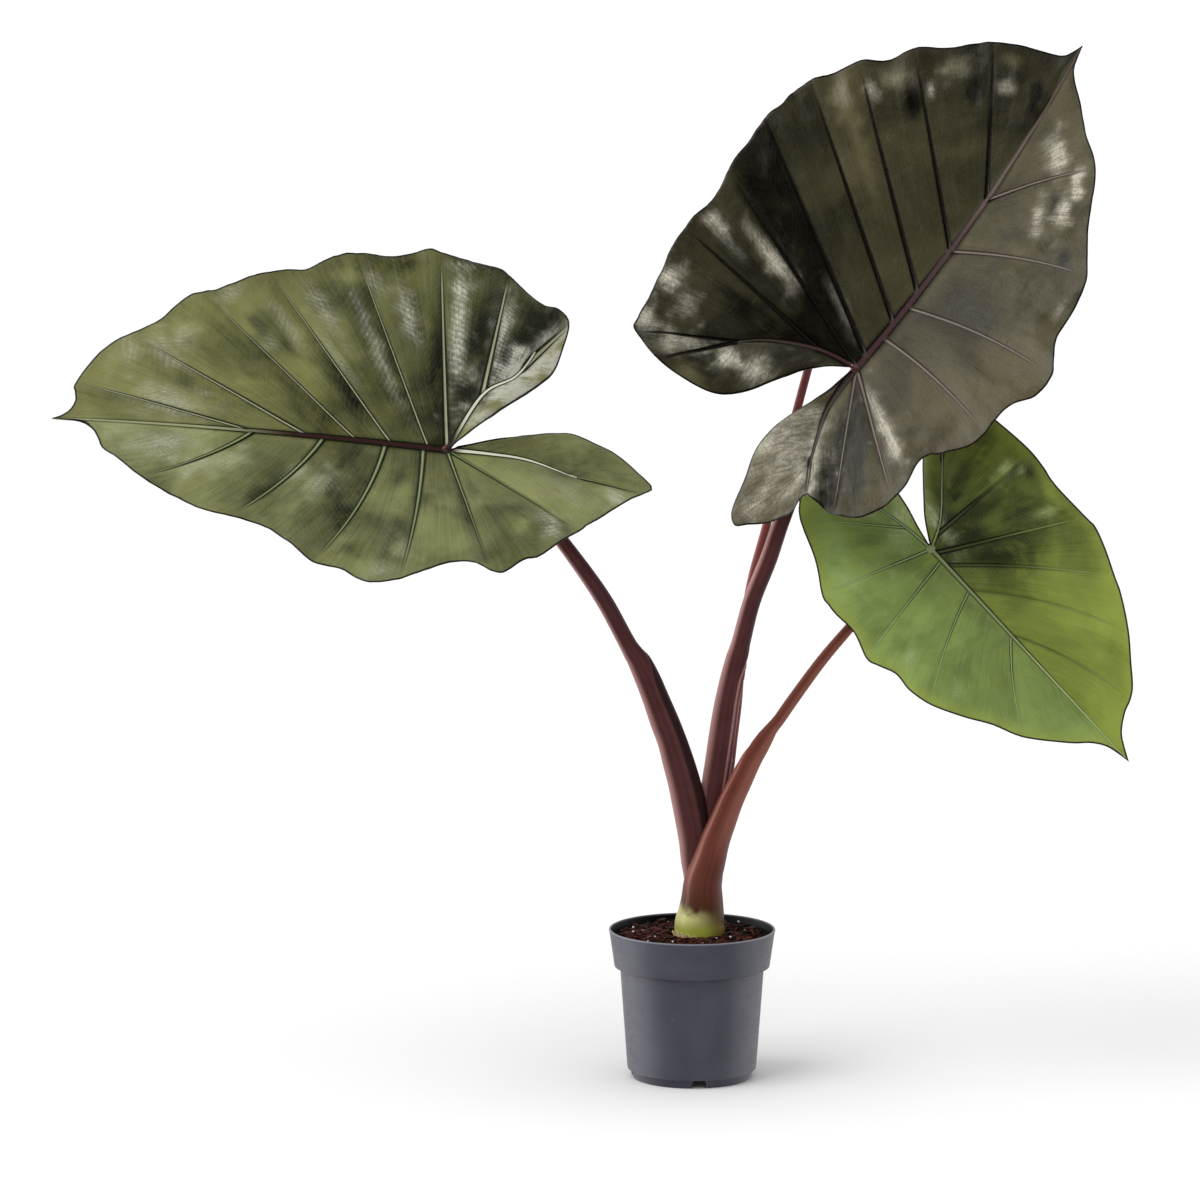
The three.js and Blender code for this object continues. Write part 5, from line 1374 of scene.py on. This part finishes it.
def bark_chip(bm, rng):
    verts = bmesh.ops.create_cube(bm, size=1)["verts"]
    sizes = [rng.uniform(*size) for size in CHIP_SIZES]
    for vert in verts:
        for axis, spread in enumerate(CHIP_SPREADS):
            vert.co[axis] *= sizes[axis] * rng.uniform(*spread) * MM
    return verts


def coir_fibre(bm, rng):
    """A bent sliver, highest in the middle."""
    long, thick, bend = (rng.uniform(*size) for size in FIBRE_SIZES)
    verts = bmesh.ops.create_grid(bm, x_segments=6, y_segments=3, size=0.5)["verts"]
    for vert in verts:
        f = vert.co.x
        angle = 2 * math.pi * (vert.co.y + 0.5)
        vert.co.x = f * long * MM
        vert.co.y = (bend * f * f * 2 + thick * math.cos(angle)) * MM
        vert.co.z = (FIBRE_ARCH * (1 - 4 * f * f) + thick * math.sin(angle)) * MM
    close_tube(bm, verts, WELD)
    return [vert for vert in verts if vert.is_valid]


def perlite_grain(bm, rng):
    verts = bmesh.ops.create_icosphere(bm, subdivisions=2, radius=rng.uniform(*PERLITE_RADIUS) * MM)["verts"]
    for vert in verts:
        vert.co *= 1 + PERLITE_ROUGH * noise.noise(vert.co * PERLITE_NOISE + Vector((rng.random(), 0, 0)))
    return verts


def build_soil(material):
    """The potting mix as one body that fills the pot, with a loose, rough top."""
    wall = POT_WALL + SOIL_GAP
    floor = FOOT_HEIGHT + wall
    side_top = SOIL_RADIUS + 1.2
    profile = [
        (0, wall), (PAD_RADIUS - 2.6, wall), (PAD_RADIUS - 1.2, floor),
        (BODY_BOTTOM_RADIUS - wall - 1.2, floor), (BODY_BOTTOM_RADIUS - wall, floor + 1.4),
        (BODY_TOP_RADIUS - wall, BAND_BOTTOM + SOIL_GAP),
        (BAND_BOTTOM_RADIUS - wall - 0.2, BAND_BOTTOM + wall), (side_top, SOIL_LEVEL - 1),
    ]
    profile += [(side_top * (1 - k / SOIL_RINGS), SOIL_LEVEL) for k in range(1, SOIL_RINGS + 1)]
    bm = turned(profile, SOIL_STEPS)
    for vert in bm.verts:
        if vert.co.z > (SOIL_LEVEL - 0.5) * MM:
            vert.co.z = soil_height(vert.co.x / MM, vert.co.y / MM) * MM
    finished("potting_mix", bm, material, "soil", "soil")


def shade(red, green, blue):
    """A screen colour, 0 to 255, as the linear colour that a shader takes."""
    linear = []
    for value in (red, green, blue):
        v = value / 255
        linear.append(v / 12.92 if v <= 0.04045 else ((v + 0.055) / 1.055) ** 2.4)
    return (*linear, 1.0)


class Paint:
    """A material under construction, with the nodes that this plant's finishes need."""

    def __init__(self, name, roughness, specular=0.5, coat=0.0, coat_roughness=0.1):
        self.material = bpy.data.materials.new(name)
        self.material.use_nodes = True
        self.tree = self.material.node_tree
        self.tree.nodes.clear()
        out = self.tree.nodes.new("ShaderNodeOutputMaterial")
        self.skin = self.tree.nodes.new("ShaderNodeBsdfPrincipled")
        self.tree.links.new(self.skin.outputs["BSDF"], out.inputs["Surface"])
        self.skin.inputs["Roughness"].default_value = roughness
        self.skin.inputs["Specular IOR Level"].default_value = specular
        self.skin.inputs["Coat Weight"].default_value = coat
        self.skin.inputs["Coat Roughness"].default_value = coat_roughness
        self.place = self.tree.nodes.new("ShaderNodeTexCoord").outputs["Object"]

    def set(self, socket, value):
        """Gives a socket another socket, a screen colour of three numbers, or a plain value."""
        if isinstance(value, bpy.types.NodeSocket):
            self.tree.links.new(value, socket)
        elif socket.type == "RGBA" and len(value) == 3:
            socket.default_value = shade(*value)
        else:
            socket.default_value = value

    def put(self, kind, inputs, **settings):
        node = self.tree.nodes.new(kind)
        for key, value in settings.items():
            setattr(node, key, value)
        for key, value in inputs.items():
            self.set(node.inputs[key], value)
        return node

    def value(self, name):
        return self.put("ShaderNodeAttribute", {}, attribute_name=name).outputs["Fac"]

    def vector(self, name):
        return self.put("ShaderNodeAttribute", {}, attribute_name=name).outputs["Vector"]

    def axis(self, vector, letter):
        return self.put("ShaderNodeSeparateXYZ", {"Vector": vector}).outputs[letter]

    def noise(self, vector, scale, detail=2.0, roughness=0.5, distortion=0.0):
        """Noise of one scale, or of a scale for each axis."""
        if isinstance(scale, tuple):
            vector = self.put("ShaderNodeMapping", {"Vector": vector, "Scale": scale}).outputs["Vector"]
            scale = 1.0
        inputs = {
            "Vector": vector, "Scale": scale, "Detail": detail, "Roughness": roughness,
            "Distortion": distortion,
        }
        return self.put("ShaderNodeTexNoise", inputs).outputs["Fac"]

    def between(self, value, low, high, start=0.0, end=1.0):
        """start below low, end above high, and smooth in between."""
        inputs = {"Value": value, "From Min": low, "From Max": high, "To Min": start, "To Max": end}
        return self.put("ShaderNodeMapRange", inputs, interpolation_type="SMOOTHSTEP").outputs["Result"]

    def near(self, value, low, high, strength=1.0):
        """strength below low, and nothing above high."""
        return self.between(value, low, high, strength, 0.0)

    def math(self, operation, first, second=0.0):
        return self.put("ShaderNodeMath", {0: first, 1: second}, operation=operation).outputs[0]

    def plus(self, first, second):
        return self.math("ADD", first, second)

    def times(self, *factors):
        product = factors[0]
        for factor in factors[1:]:
            product = self.math("MULTIPLY", product, factor)
        return product

    def mix(self, factor, first, second):
        node = self.put("ShaderNodeMix", {}, data_type="RGBA")
        for k, value in ((0, factor), (6, first), (7, second)):
            self.set(node.inputs[k], value)
        return node.outputs[2]

    def bump(self, height, distance, strength=1.0, below=None):
        inputs = {"Height": height, "Distance": distance, "Strength": strength}
        if below is not None:
            inputs["Normal"] = below
        return self.put("ShaderNodeBump", inputs).outputs["Normal"]

    def finish(self, color, normal=None, roughness=None):
        for key, value in (("Base Color", color), ("Normal", normal), ("Roughness", roughness)):
            if value is not None:
                self.set(self.skin.inputs[key], value)
        return self.material


class LeafPaint(Paint):
    """Leaf skin: toned panels partly painted with light and shade, painted highlights, fine side veins,
    drawn main veins, a dark margin and a dull underside.
    """

    def __init__(self, name, looks):
        super().__init__(name, 0.35, looks["specular"], looks["coat"], looks["coat_roughness"])
        self.skin.inputs["Specular Tint"].default_value = looks["tint"]
        self.looks = looks
        flow = self.vector("flow")
        self.phase, self.reach = self.axis(flow, "X"), self.axis(flow, "Y")
        self.plus_side = self.between(self.phase, -1, 1)
        self.edge, self.lateral = self.value("edge"), self.value("lateral")
        self.rib, self.spine = self.value("rib"), self.value("spine")
        self.under = self.between(self.value("under"), 0.4, 0.6)
        self.cloud = self.noise(self.place, *CLOUD)
        self.blotch = self.noise(self.place, *BLOTCH)
        self.streak = self.noise(flow, *STREAK)
        self.fine = self.noise(flow, *FINE_STREAK)
        self.wrinkle = self.noise(flow, *WRINKLE)
        self.silk = self.noise(flow, *SILK)
        middle = self.math("ABSOLUTE", self.math("SUBTRACT", self.math("FRACT", self.phase), 0.5))
        slant = self.math("SUBTRACT", self.times(self.reach, THREAD_COUNT), self.times(middle, THREAD_SLANT))
        slant = self.plus(slant, self.times(self.blotch, THREAD_WANDER))
        self.waves = self.math("SINE", self.times(slant, FULL_TURN))
        self.threads = self.between(self.waves, 0.72, 1.0)

    def by_side(self, key):
        """The colours that a look has for the two halves of a blade."""
        return self.mix(self.plus_side, self.looks[f"{key}_minus"], self.looks[f"{key}_plus"])

    def panels(self):
        """The panels between the veins: their tones, partly painted reflection and shade, streaks, yellow
        blotches, border and finest veins.
        """
        looks = self.looks
        light = self.by_side("light")
        level = self.value("tone")
        for noise_value, most in ((self.cloud, looks["clouds"]), (self.streak, looks["streaks"])):
            level = self.plus(level, self.between(noise_value, 0.3, 0.7, -most, most))
        color = self.mix(self.between(level, -0.05, 1.05), looks["dark"], light)
        yellowed = self.between(self.blotch, 0.5, 0.75, 0.0, looks["yellowing"])
        color = self.mix(yellowed, color, looks["yellow"])
        color = self.mix(self.near(self.edge, *BORDER, looks["border"]), color, looks["border_color"])
        return self.mix(self.times(self.threads, looks["threads"]), color, light)

    def painted_highlights(self, color):
        """Painted highlights and sheen on the cuticle, rippled by the finest veins."""
        ripples = self.looks["ripples"]
        pebble = self.noise(self.place, *PEBBLE)
        gleam = self.times(
            self.value("painted_sheen"), self.between(self.silk, 0.36, 0.62, 0.5, 1.2),
            self.between(pebble, 0.38, 0.6, 0.7, 1.2),
            self.between(self.waves, -1, 1, 1 - ripples, 1 + ripples),
        )
        return self.mix(self.math("MINIMUM", gleam, MOST_GLEAM), color, self.looks["pale"])

    def lateral_veins(self, color):
        """Each lateral vein: a soft painted shadow, a drawn dark line of painted shade on both sides, and
        the vein itself.
        """
        looks = self.looks
        kept = self.near(self.reach, *VEIN_END)
        shadow = self.near(self.lateral, *VEIN_SHADOW, looks["vein_shadow"])
        color = self.mix(self.times(shadow, kept), color, self.by_side("shadow"))
        lined = self.between(self.reach, *looks["line_reach"], 1.0, looks["line_end"])
        lined = self.times(kept, self.times(lined, self.near(self.phase, *looks["line_fade"])))
        color = self.mix(self.times(self.near(self.lateral, *VEIN_LINE), lined), color, self.by_side("line"))
        plus_vein = self.mix(self.between(self.reach, 0.3, 0.7), looks["vein_plus"], looks["vein_plus_tip"])
        vein = self.mix(self.plus_side, looks["vein_minus"], plus_vein)
        core = self.near(self.lateral, *VEIN_CORE, looks["vein_strength"])
        return self.mix(self.times(core, kept), color, vein)

    def ribs(self, color):
        """The midrib and the lobes' ribs, drawn in the same way, and the thin dark margin."""
        looks = self.looks
        outer = self.between(self.spine, 0.5, 0.8, 1.0, looks["line_end"])
        shadow = self.near(self.rib, *RIB_SHADOW, looks["vein_shadow"])
        color = self.mix(shadow, color, self.by_side("shadow"))
        # The dark lines beside the ribs are painted shade, as beside the veins.
        color = self.mix(self.times(self.near(self.rib, *RIB_LINE), outer), color, self.by_side("line"))
        main = self.mix(self.between(self.spine, 0.38, 0.62), looks["rib"], looks["rib_tip"])
        main = self.mix(self.near(self.spine, -0.05, -0.01), main, looks["rib_lobe"])
        color = self.mix(self.near(self.rib, *RIB_CORE), color, main)
        return self.mix(self.near(self.edge, *MARGIN_LINE), color, looks["margin"])

    def underside(self):
        looks = self.looks
        back = self.mix(self.between(self.cloud, 0.3, 0.7), looks["back"], looks["back_light"])
        back = self.mix(self.near(self.lateral, *BACK_VEIN, 0.8), back, looks["back_vein"])
        return self.mix(self.near(self.rib, *BACK_RIB), back, looks["back_vein"])

    def relief(self):
        """Bumps of streaks, finest veins, wrinkles and dimples, calm beside the ribs, and a fine grain."""
        looks = self.looks
        calm = self.between(self.rib, *RIB_CALM)
        normal = None
        for height, distance, strength in (
            (self.streak, STREAK_BUMP, looks["streak_bump"]),
            (self.fine, FINE_BUMP, looks["streak_bump"]),
            (self.threads, FINE_BUMP, looks["streak_bump"]),
            (self.wrinkle, BROAD_BUMP, looks["wrinkle_bump"]),
            (self.noise(self.place, *DIMPLES), BROAD_BUMP, looks["dimple_bump"]),
        ):
            normal = self.bump(self.times(height, calm), distance, strength, normal)
        return self.bump(self.noise(self.place, *GRAIN), GRAIN_BUMP, 1.0, normal)

    def done(self):
        color = self.ribs(self.lateral_veins(self.painted_highlights(self.panels())))
        color = self.mix(self.under, color, self.underside())
        roughness = self.looks["roughness"]
        rough = self.between(self.streak, 0.25, 0.75, roughness - 0.04, roughness + 0.07)
        return self.finish(color, self.relief(), self.plus(rough, self.times(self.under, 0.25)))


# In the looks, pale is the colour of the painted highlights; dark and light end the range of the tone, which
# is partly painted reflection and shade; shadow and line are painted shade beside the veins and ribs.
OLIVE_LOOKS = {
    "dark": (20, 22, 5), "light_plus": (134, 138, 86), "light_minus": (128, 130, 76),
    "pale": (190, 188, 172), "yellow": (112, 104, 44), "yellowing": 0.25,
    "clouds": 0.2, "streaks": 0.06, "threads": 0.1, "border": 0.15, "border_color": (84, 78, 58),
    "vein_plus": (142, 152, 102), "vein_plus_tip": (132, 142, 92), "vein_minus": (178, 178, 144),
    "vein_strength": 0.85, "line_plus": (16, 20, 6), "line_minus": (22, 22, 8),
    "line_reach": (0.5, 0.9), "line_end": 0.5, "line_fade": (40, 41),
    "vein_shadow": 0.45, "shadow_plus": (26, 32, 12), "shadow_minus": (36, 38, 18),
    "rib": (48, 28, 26), "rib_tip": (146, 148, 112), "rib_lobe": (206, 206, 184), "margin": (14, 9, 11),
    "back": (78, 52, 62), "back_light": (92, 84, 66), "back_vein": (120, 128, 84),
    "tint": (1, 1, 1, 1), "ripples": 0.28, "specular": 0.45, "coat": 0.0, "coat_roughness": 0.2,
    "roughness": 0.29, "streak_bump": 0.5, "dimple_bump": 0.5, "wrinkle_bump": 0.35,
}
DARK_LOOKS = {
    "dark": (7, 6, 2), "light_plus": (92, 87, 58), "light_minus": (104, 97, 66),
    "pale": (188, 183, 166), "yellow": (50, 56, 22), "yellowing": 0.3,
    "clouds": 0.13, "streaks": 0.025, "threads": 0.03, "border": 0.2, "border_color": (58, 50, 40),
    "vein_plus": (34, 27, 24), "vein_plus_tip": (36, 30, 24), "vein_minus": (126, 113, 98),
    "vein_strength": 0.85, "line_plus": (3, 2, 2), "line_minus": (16, 11, 11),
    "line_reach": (0.5, 0.9), "line_end": 0.7, "line_fade": (40, 41),
    "vein_shadow": 0.5, "shadow_plus": (8, 6, 5), "shadow_minus": (34, 28, 23),
    "rib": (62, 38, 42), "rib_tip": (84, 70, 62), "rib_lobe": (60, 50, 46), "margin": (7, 5, 7),
    "back": (74, 38, 52), "back_light": (84, 56, 58), "back_vein": (112, 96, 80),
    "tint": (1, 0.93, 0.76, 1), "ripples": 0.1, "specular": 0.52, "coat": 0.22, "coat_roughness": 0.18,
    "roughness": 0.28, "streak_bump": 0.3, "dimple_bump": 0.6, "wrinkle_bump": 0.35,
}
GREEN_LOOKS = {
    "dark": (34, 42, 3), "light_plus": (138, 155, 62), "light_minus": (138, 160, 85),
    "pale": (188, 200, 156), "yellow": (146, 160, 56), "yellowing": 0.25,
    "clouds": 0.2, "streaks": 0.05, "threads": 0.1, "border": 0.4, "border_color": (146, 158, 62),
    "vein_plus": (84, 94, 46), "vein_plus_tip": (142, 156, 96), "vein_minus": (158, 174, 124),
    "vein_strength": 0.8, "line_plus": (14, 18, 3), "line_minus": (62, 74, 28),
    "line_reach": (0.3, 0.7), "line_end": 0.12, "line_fade": (23.6, 24.6),
    "vein_shadow": 0.25, "shadow_plus": (40, 48, 14), "shadow_minus": (66, 78, 30),
    "rib": (128, 142, 94), "rib_tip": (150, 168, 112), "rib_lobe": (134, 150, 108), "margin": (34, 18, 26),
    "back": (96, 74, 70), "back_light": (108, 118, 76), "back_vein": (150, 160, 110),
    "tint": (1, 1, 1, 1), "ripples": 0.15, "specular": 0.35, "coat": 0.0, "coat_roughness": 0.3,
    "roughness": 0.38, "streak_bump": 0.4, "dimple_bump": 0.35, "wrinkle_bump": 0.25,
}


def stalk_paint(name, low, high, pale, left, right):
    """Stalk skin: lengthwise streaks, painted light and shade across its sides, a lime foot in lit and
    shaded colours, and a painted highlight on the thin edge of the sheath.

    left and right are how strongly painted light lightens the left edge and the upper right side of the
    front; the right side is darkened as painted shade, less as right grows.
    """
    paint = Paint(name, 0.42, 0.28)
    flow = paint.vector("flow")
    lines = paint.noise(flow, (5, 5, 1.6), 3, 0.6)
    threads = paint.noise(flow, (26, 26, 5), 2, 0.6)
    mottle = paint.noise(paint.place, 38, 3, 0.6, 0.5)
    side, height = paint.axis(flow, "X"), paint.axis(paint.place, "Z")
    color = paint.mix(paint.between(lines, 0.2, 0.8, 0.25, 0.75), low, high)
    color = paint.mix(paint.between(threads, 0.5, 0.75, 0.0, 0.12), color, low)
    color = paint.mix(paint.between(mottle, 0.35, 0.7, 0.0, 0.3), color, low)
    # Painted shade on the right side, and painted light on the left edge and higher up on the right of the
    # front.
    color = paint.mix(paint.between(side, 0.3, 0.95, 0.0, 0.6 - right), color, low)
    color = paint.mix(paint.near(side, -0.99, -0.45, left), color, pale)
    high_up = paint.between(height, *PALE_ZONE, 0.0, right)
    color = paint.mix(paint.times(paint.between(side, -0.3, 0.5), high_up), color, pale)
    wander = paint.plus(height, paint.between(mottle, 0.25, 0.75, -0.005, 0.005))
    wander = paint.plus(wander, paint.times(side, 0.006))
    color = paint.mix(paint.near(wander, *BROWN_ZONE, 0.75), color, STALK_BROWN)
    # The foot in lit and shaded colours across its side: painted light and shade.
    foot = paint.mix(paint.between(side, -0.9, 0.95), FOOT_PALE, FOOT_SHADED)
    lime = paint.mix(paint.between(side, 0.1, 0.9), FOOT_LIME, FOOT_LIME_SHADED)
    foot = paint.mix(paint.near(height, *LIME_ZONE, 0.85), foot, lime)
    color = paint.mix(paint.near(wander, *FOOT_ZONE), color, foot)
    # The inside of a sheath's open side is darkened: painted shade in the hollow.
    color = paint.mix(paint.between(paint.value("inner"), 0.4, 0.6, 0.0, 0.5), color, low)
    color = paint.mix(paint.times(paint.value("wing"), 0.75), color, WING_DARK)
    # A painted highlight along the sheath's free edge and the rim of its open side.
    edge = paint.times(paint.value("rim"), paint.between(height, *EDGE_ZONE, 0.0, 0.75))
    color = paint.mix(edge, color, pale)
    normal = paint.bump(lines, 0.0008, 0.25, paint.bump(threads, 0.00025, 0.6))
    return paint.finish(color, normal, paint.between(lines, 0.25, 0.75, 0.34, 0.5))


def rolled_leaf_paint():
    paint = Paint("rolled_leaf_skin", 0.4, 0.5, 0.15, 0.25)
    lines = paint.noise(paint.vector("flow"), (16, 16, 3), 3, 0.6)
    color = paint.mix(paint.between(lines, 0.3, 0.7), (70, 62, 36), (112, 112, 58))
    color = paint.mix(paint.between(paint.value("rim"), 0.2, 0.9), color, (66, 36, 42))
    return paint.finish(color, paint.bump(lines, 0.0005, 0.6))


def pot_paint(name, color, deep, specular=0.75):
    """Moulded plastic: a faint grain, soft blotches, a few pale scuffs, and a painted highlight along the
    lip of the rim.
    """
    paint = Paint(name, 0.45, specular)
    cloud = paint.noise(paint.place, 12, 4, 0.6, 0.5)
    grain = paint.noise(paint.place, 1500, 2, 0.6)
    rubs = paint.noise(paint.place, (60, 60, 420), 3, 0.7, 0.4)
    dust = paint.noise(paint.place, 230, 2, 0.5)
    tint = paint.mix(paint.between(cloud, 0.35, 0.7), deep, color)
    tint = paint.mix(paint.between(rubs, 0.66, 0.8, 0.0, 0.25), tint, (136, 136, 146))
    tint = paint.mix(paint.between(dust, 0.74, 0.8, 0.0, 0.35), tint, (150, 148, 148))
    height = paint.axis(paint.place, "Z")
    # A painted highlight along the lip of the rim.
    tint = paint.mix(paint.between(height, 0.1512, 0.1526, 0.0, 0.4), tint, (170, 170, 178))
    normal = paint.bump(cloud, 0.0006, 0.2, paint.bump(grain, 0.00005, 0.8))
    return paint.finish(tint, normal, paint.between(rubs, 0.3, 0.75, 0.38, 0.52))


def earth_paint(name, first, second, third, bump):
    """Dry, rough matter of three blended colours."""
    paint = Paint(name, 0.9, 0.3)
    big = paint.noise(paint.place, 160, 4, 0.65, 0.6)
    small = paint.noise(paint.place, 620, 3, 0.65, 0.4)
    color = paint.mix(paint.between(big, 0.44, 0.68), first, second)
    color = paint.mix(paint.between(small, 0.5, 0.7, 0.0, 0.8), color, third)
    return paint.finish(color, paint.bump(big, 0.0016, bump, paint.bump(small, 0.0006, bump)))


def papery_paint():
    paint = Paint("dry_sheath", 0.7, 0.3)
    veins = paint.noise(paint.place, (700, 700, 60), 3, 0.6)
    color = paint.mix(paint.between(veins, 0.35, 0.65), (236, 222, 170), (206, 186, 124))
    color = paint.mix(paint.near(paint.axis(paint.place, "Z"), 0.1455, 0.147, 0.6), color, (120, 84, 52))
    return paint.finish(color, paint.bump(veins, 0.0004, 0.7))


def floor_paint():
    paint = Paint("pale_floor", 0.9, 0.1)
    cloud = paint.noise(paint.place, 1.5, 2, 0.5)
    return paint.finish(paint.mix(cloud, (0.9, 0.9, 0.9, 1), (0.92, 0.92, 0.92, 1)))


def build_stage():
    bm = bmesh.new()
    bmesh.ops.create_grid(bm, x_segments=2, y_segments=2, size=FLOOR_HALF)
    floor = in_scene("floor", bm)
    floor.data.materials.append(floor_paint())
    floor.visible_glossy = False


def place_camera():
    data = bpy.data.cameras.new("camera")
    data.sensor_width = SENSOR_WIDTH
    data.lens = CAMERA_LENS
    camera = bpy.data.objects.new("camera", data)
    camera.location = CAMERA_PLACE
    camera.rotation_euler = (math.radians(90 - CAMERA_PITCH), 0, 0)
    bpy.context.scene.collection.objects.link(camera)
    bpy.context.scene.camera = camera


def place_key():
    """A large soft key from above the front, which the skins don't mirror."""
    data = bpy.data.lights.new("key", "SUN")
    data.energy = KEY_STRENGTH
    data.angle = math.radians(KEY_ANGLE)
    key = bpy.data.objects.new("key", data)
    key.rotation_euler = Vector(KEY_DIRECTION).to_track_quat("Z", "Y").to_euler()
    key.visible_glossy = False
    bpy.context.scene.collection.objects.link(key)


def light_the_room():
    """A white room whose reflections are darker at the front, and a white backdrop."""
    world = bpy.data.worlds.new("room")
    bpy.context.scene.world = world
    world.use_nodes = True
    nodes, links = world.node_tree.nodes, world.node_tree.links
    nodes.clear()
    out = nodes.new("ShaderNodeOutputWorld")
    direction = nodes.new("ShaderNodeTexCoord").outputs["Generated"]
    path = nodes.new("ShaderNodeLightPath")

    def glow(aim, low, high, weak, strong):
        """Brightness by the angle to a direction, from weak to strong."""
        dot = nodes.new("ShaderNodeVectorMath")
        dot.operation = "DOT_PRODUCT"
        links.new(direction, dot.inputs[0])
        dot.inputs[1].default_value = Vector(aim).normalized()
        ramp = nodes.new("ShaderNodeMapRange")
        ramp.interpolation_type = "SMOOTHSTEP"
        for key, number in (("From Min", low), ("From Max", high), ("To Min", weak), ("To Max", strong)):
            ramp.inputs[key].default_value = number
        links.new(dot.outputs["Value"], ramp.inputs["Value"])
        return ramp.outputs["Result"]

    def join(operation, first, second):
        both = nodes.new("ShaderNodeMath")
        both.operation = operation
        links.new(first, both.inputs[0])
        links.new(second, both.inputs[1])
        return both.outputs[0]

    def background(strength):
        node = nodes.new("ShaderNodeBackground")
        node.inputs["Color"].default_value = (1, 1, 1, 1)
        node.inputs["Strength"].default_value = strength
        return node

    def choose(ray, others, chosen):
        """One light for the rays of a kind, and another for the others."""
        both = nodes.new("ShaderNodeMixShader")
        links.new(path.outputs[ray], both.inputs[0])
        links.new(others, both.inputs[1])
        links.new(chosen.outputs[0], both.inputs[2])
        return both.outputs[0]

    around = join("ADD", glow(*UPPER_GLOW), glow(*LEFT_GLOW))
    around = join("MULTIPLY", around, glow(*ABOVE_FLOOR))
    for lamp in (BACK_GLOW, LAMP_GLOW, LOW_LEFT_GLOW, LOW_RIGHT_GLOW):
        around = join("ADD", around, glow(*lamp))
    mirrored = background(1.0)
    links.new(around, mirrored.inputs["Strength"])
    room = choose("Is Glossy Ray", background(ROOM_STRENGTH).outputs[0], mirrored)
    links.new(choose("Is Camera Ray", room, background(BACKDROP_STRENGTH)), out.inputs["Surface"])
    bpy.context.scene.view_settings.view_transform = "Standard"


def build_plant():
    for name, leaf, looks, slot, node in (
        ("olive", LEFT_LEAF, OLIVE_LOOKS, "leaf_olive", "blade_left"),
        ("dark", TOP_LEAF, DARK_LOOKS, "leaf_dark", "blade_top"),
        ("green", RIGHT_LEAF, GREEN_LOOKS, "leaf_green", "blade_right"),
    ):
        build_blade(f"{name}_blade", leaf, LeafPaint(f"{name}_leaf_skin", looks).done(), slot, node)
    maroon = stalk_paint("maroon_stalk_skin", (54, 22, 24), (102, 54, 54), (188, 140, 134), 0.75, 0)
    russet = stalk_paint("russet_stalk_skin", (76, 31, 21), (118, 60, 45), (184, 118, 102), 0.15, 0.32)
    rosy = stalk_paint("rosy_stalk_skin", (104, 46, 44), (150, 84, 78), (190, 140, 130), 0.3, 0)
    for name, rows, sheath, skin, slot, end, edge in (
        ("left", LEFT_STALK, LEFT_SHEATH, maroon, "stalk_dark", LEFT_LEAF["attach"], LEFT_EDGE),
        ("top", TOP_STALK, TOP_SHEATH, maroon, "stalk_dark", TOP_LEAF["attach"], TOP_EDGE),
        ("new", NEW_STALK, None, rosy, "stalk_red", None, None),
        ("right", RIGHT_STALK, RIGHT_SHEATH, russet, "stalk_red", RIGHT_LEAF["attach"], RIGHT_EDGE),
    ):
        build_stalk(f"{name}_stalk", rows, sheath, skin, slot, f"stalk_{name}", end, edge)
    build_rolled_blade("rolled_blade", SPEAR, rolled_leaf_paint(), "leaf_new", "blade_new")
    build_papery_scrap(papery_paint())


def build_pot_and_soil():
    build_pot(
        pot_paint("grey_plastic", (77, 77, 89), (68, 68, 80)),
        # The same plastic darkened: painted shade for the inside and the foot's recess.
        pot_paint("grey_plastic_painted_shade", (16, 16, 19), (10, 10, 13), 0.15),
    )
    mix = earth_paint("potting_mix_skin", (6, 3, 3), (18, 9, 7), (38, 18, 13), 0.8)
    bark = earth_paint("bark_skin", (22, 8, 6), (108, 50, 40), (6, 3, 2), 0.6)
    crumbs = earth_paint("crumb_skin", (7, 3, 2), (40, 17, 12), (5, 2, 2), 0.6)
    coir = earth_paint("coir_skin", (104, 54, 36), (76, 36, 25), (50, 25, 18), 0.4)
    grain = earth_paint("perlite_skin", (228, 222, 210), (206, 196, 184), (240, 238, 232), 0.5)
    build_soil(mix)
    scatter("soil_crumbs", crumbs, crumb, count=1900, seed=11, inside=77, lift=0.4)
    scatter("bark_chips", bark, bark_chip, count=300, seed=12, inside=72, lift=1.0)
    scatter("coir_fibres", coir, coir_fibre, count=170, seed=13, inside=68, lift=1.0)
    scatter("perlite_grains", grain, perlite_grain, count=34, seed=14, inside=76, lift=1.0)
    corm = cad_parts["corm"]
    corm.data.materials.clear()
    corm.data.materials.append(earth_paint("corm_skin", (110, 82, 54), (84, 58, 36), (60, 40, 26), 0.5))


place_camera()
place_key()
light_the_room()
build_stage()
build_plant()
build_pot_and_soil()
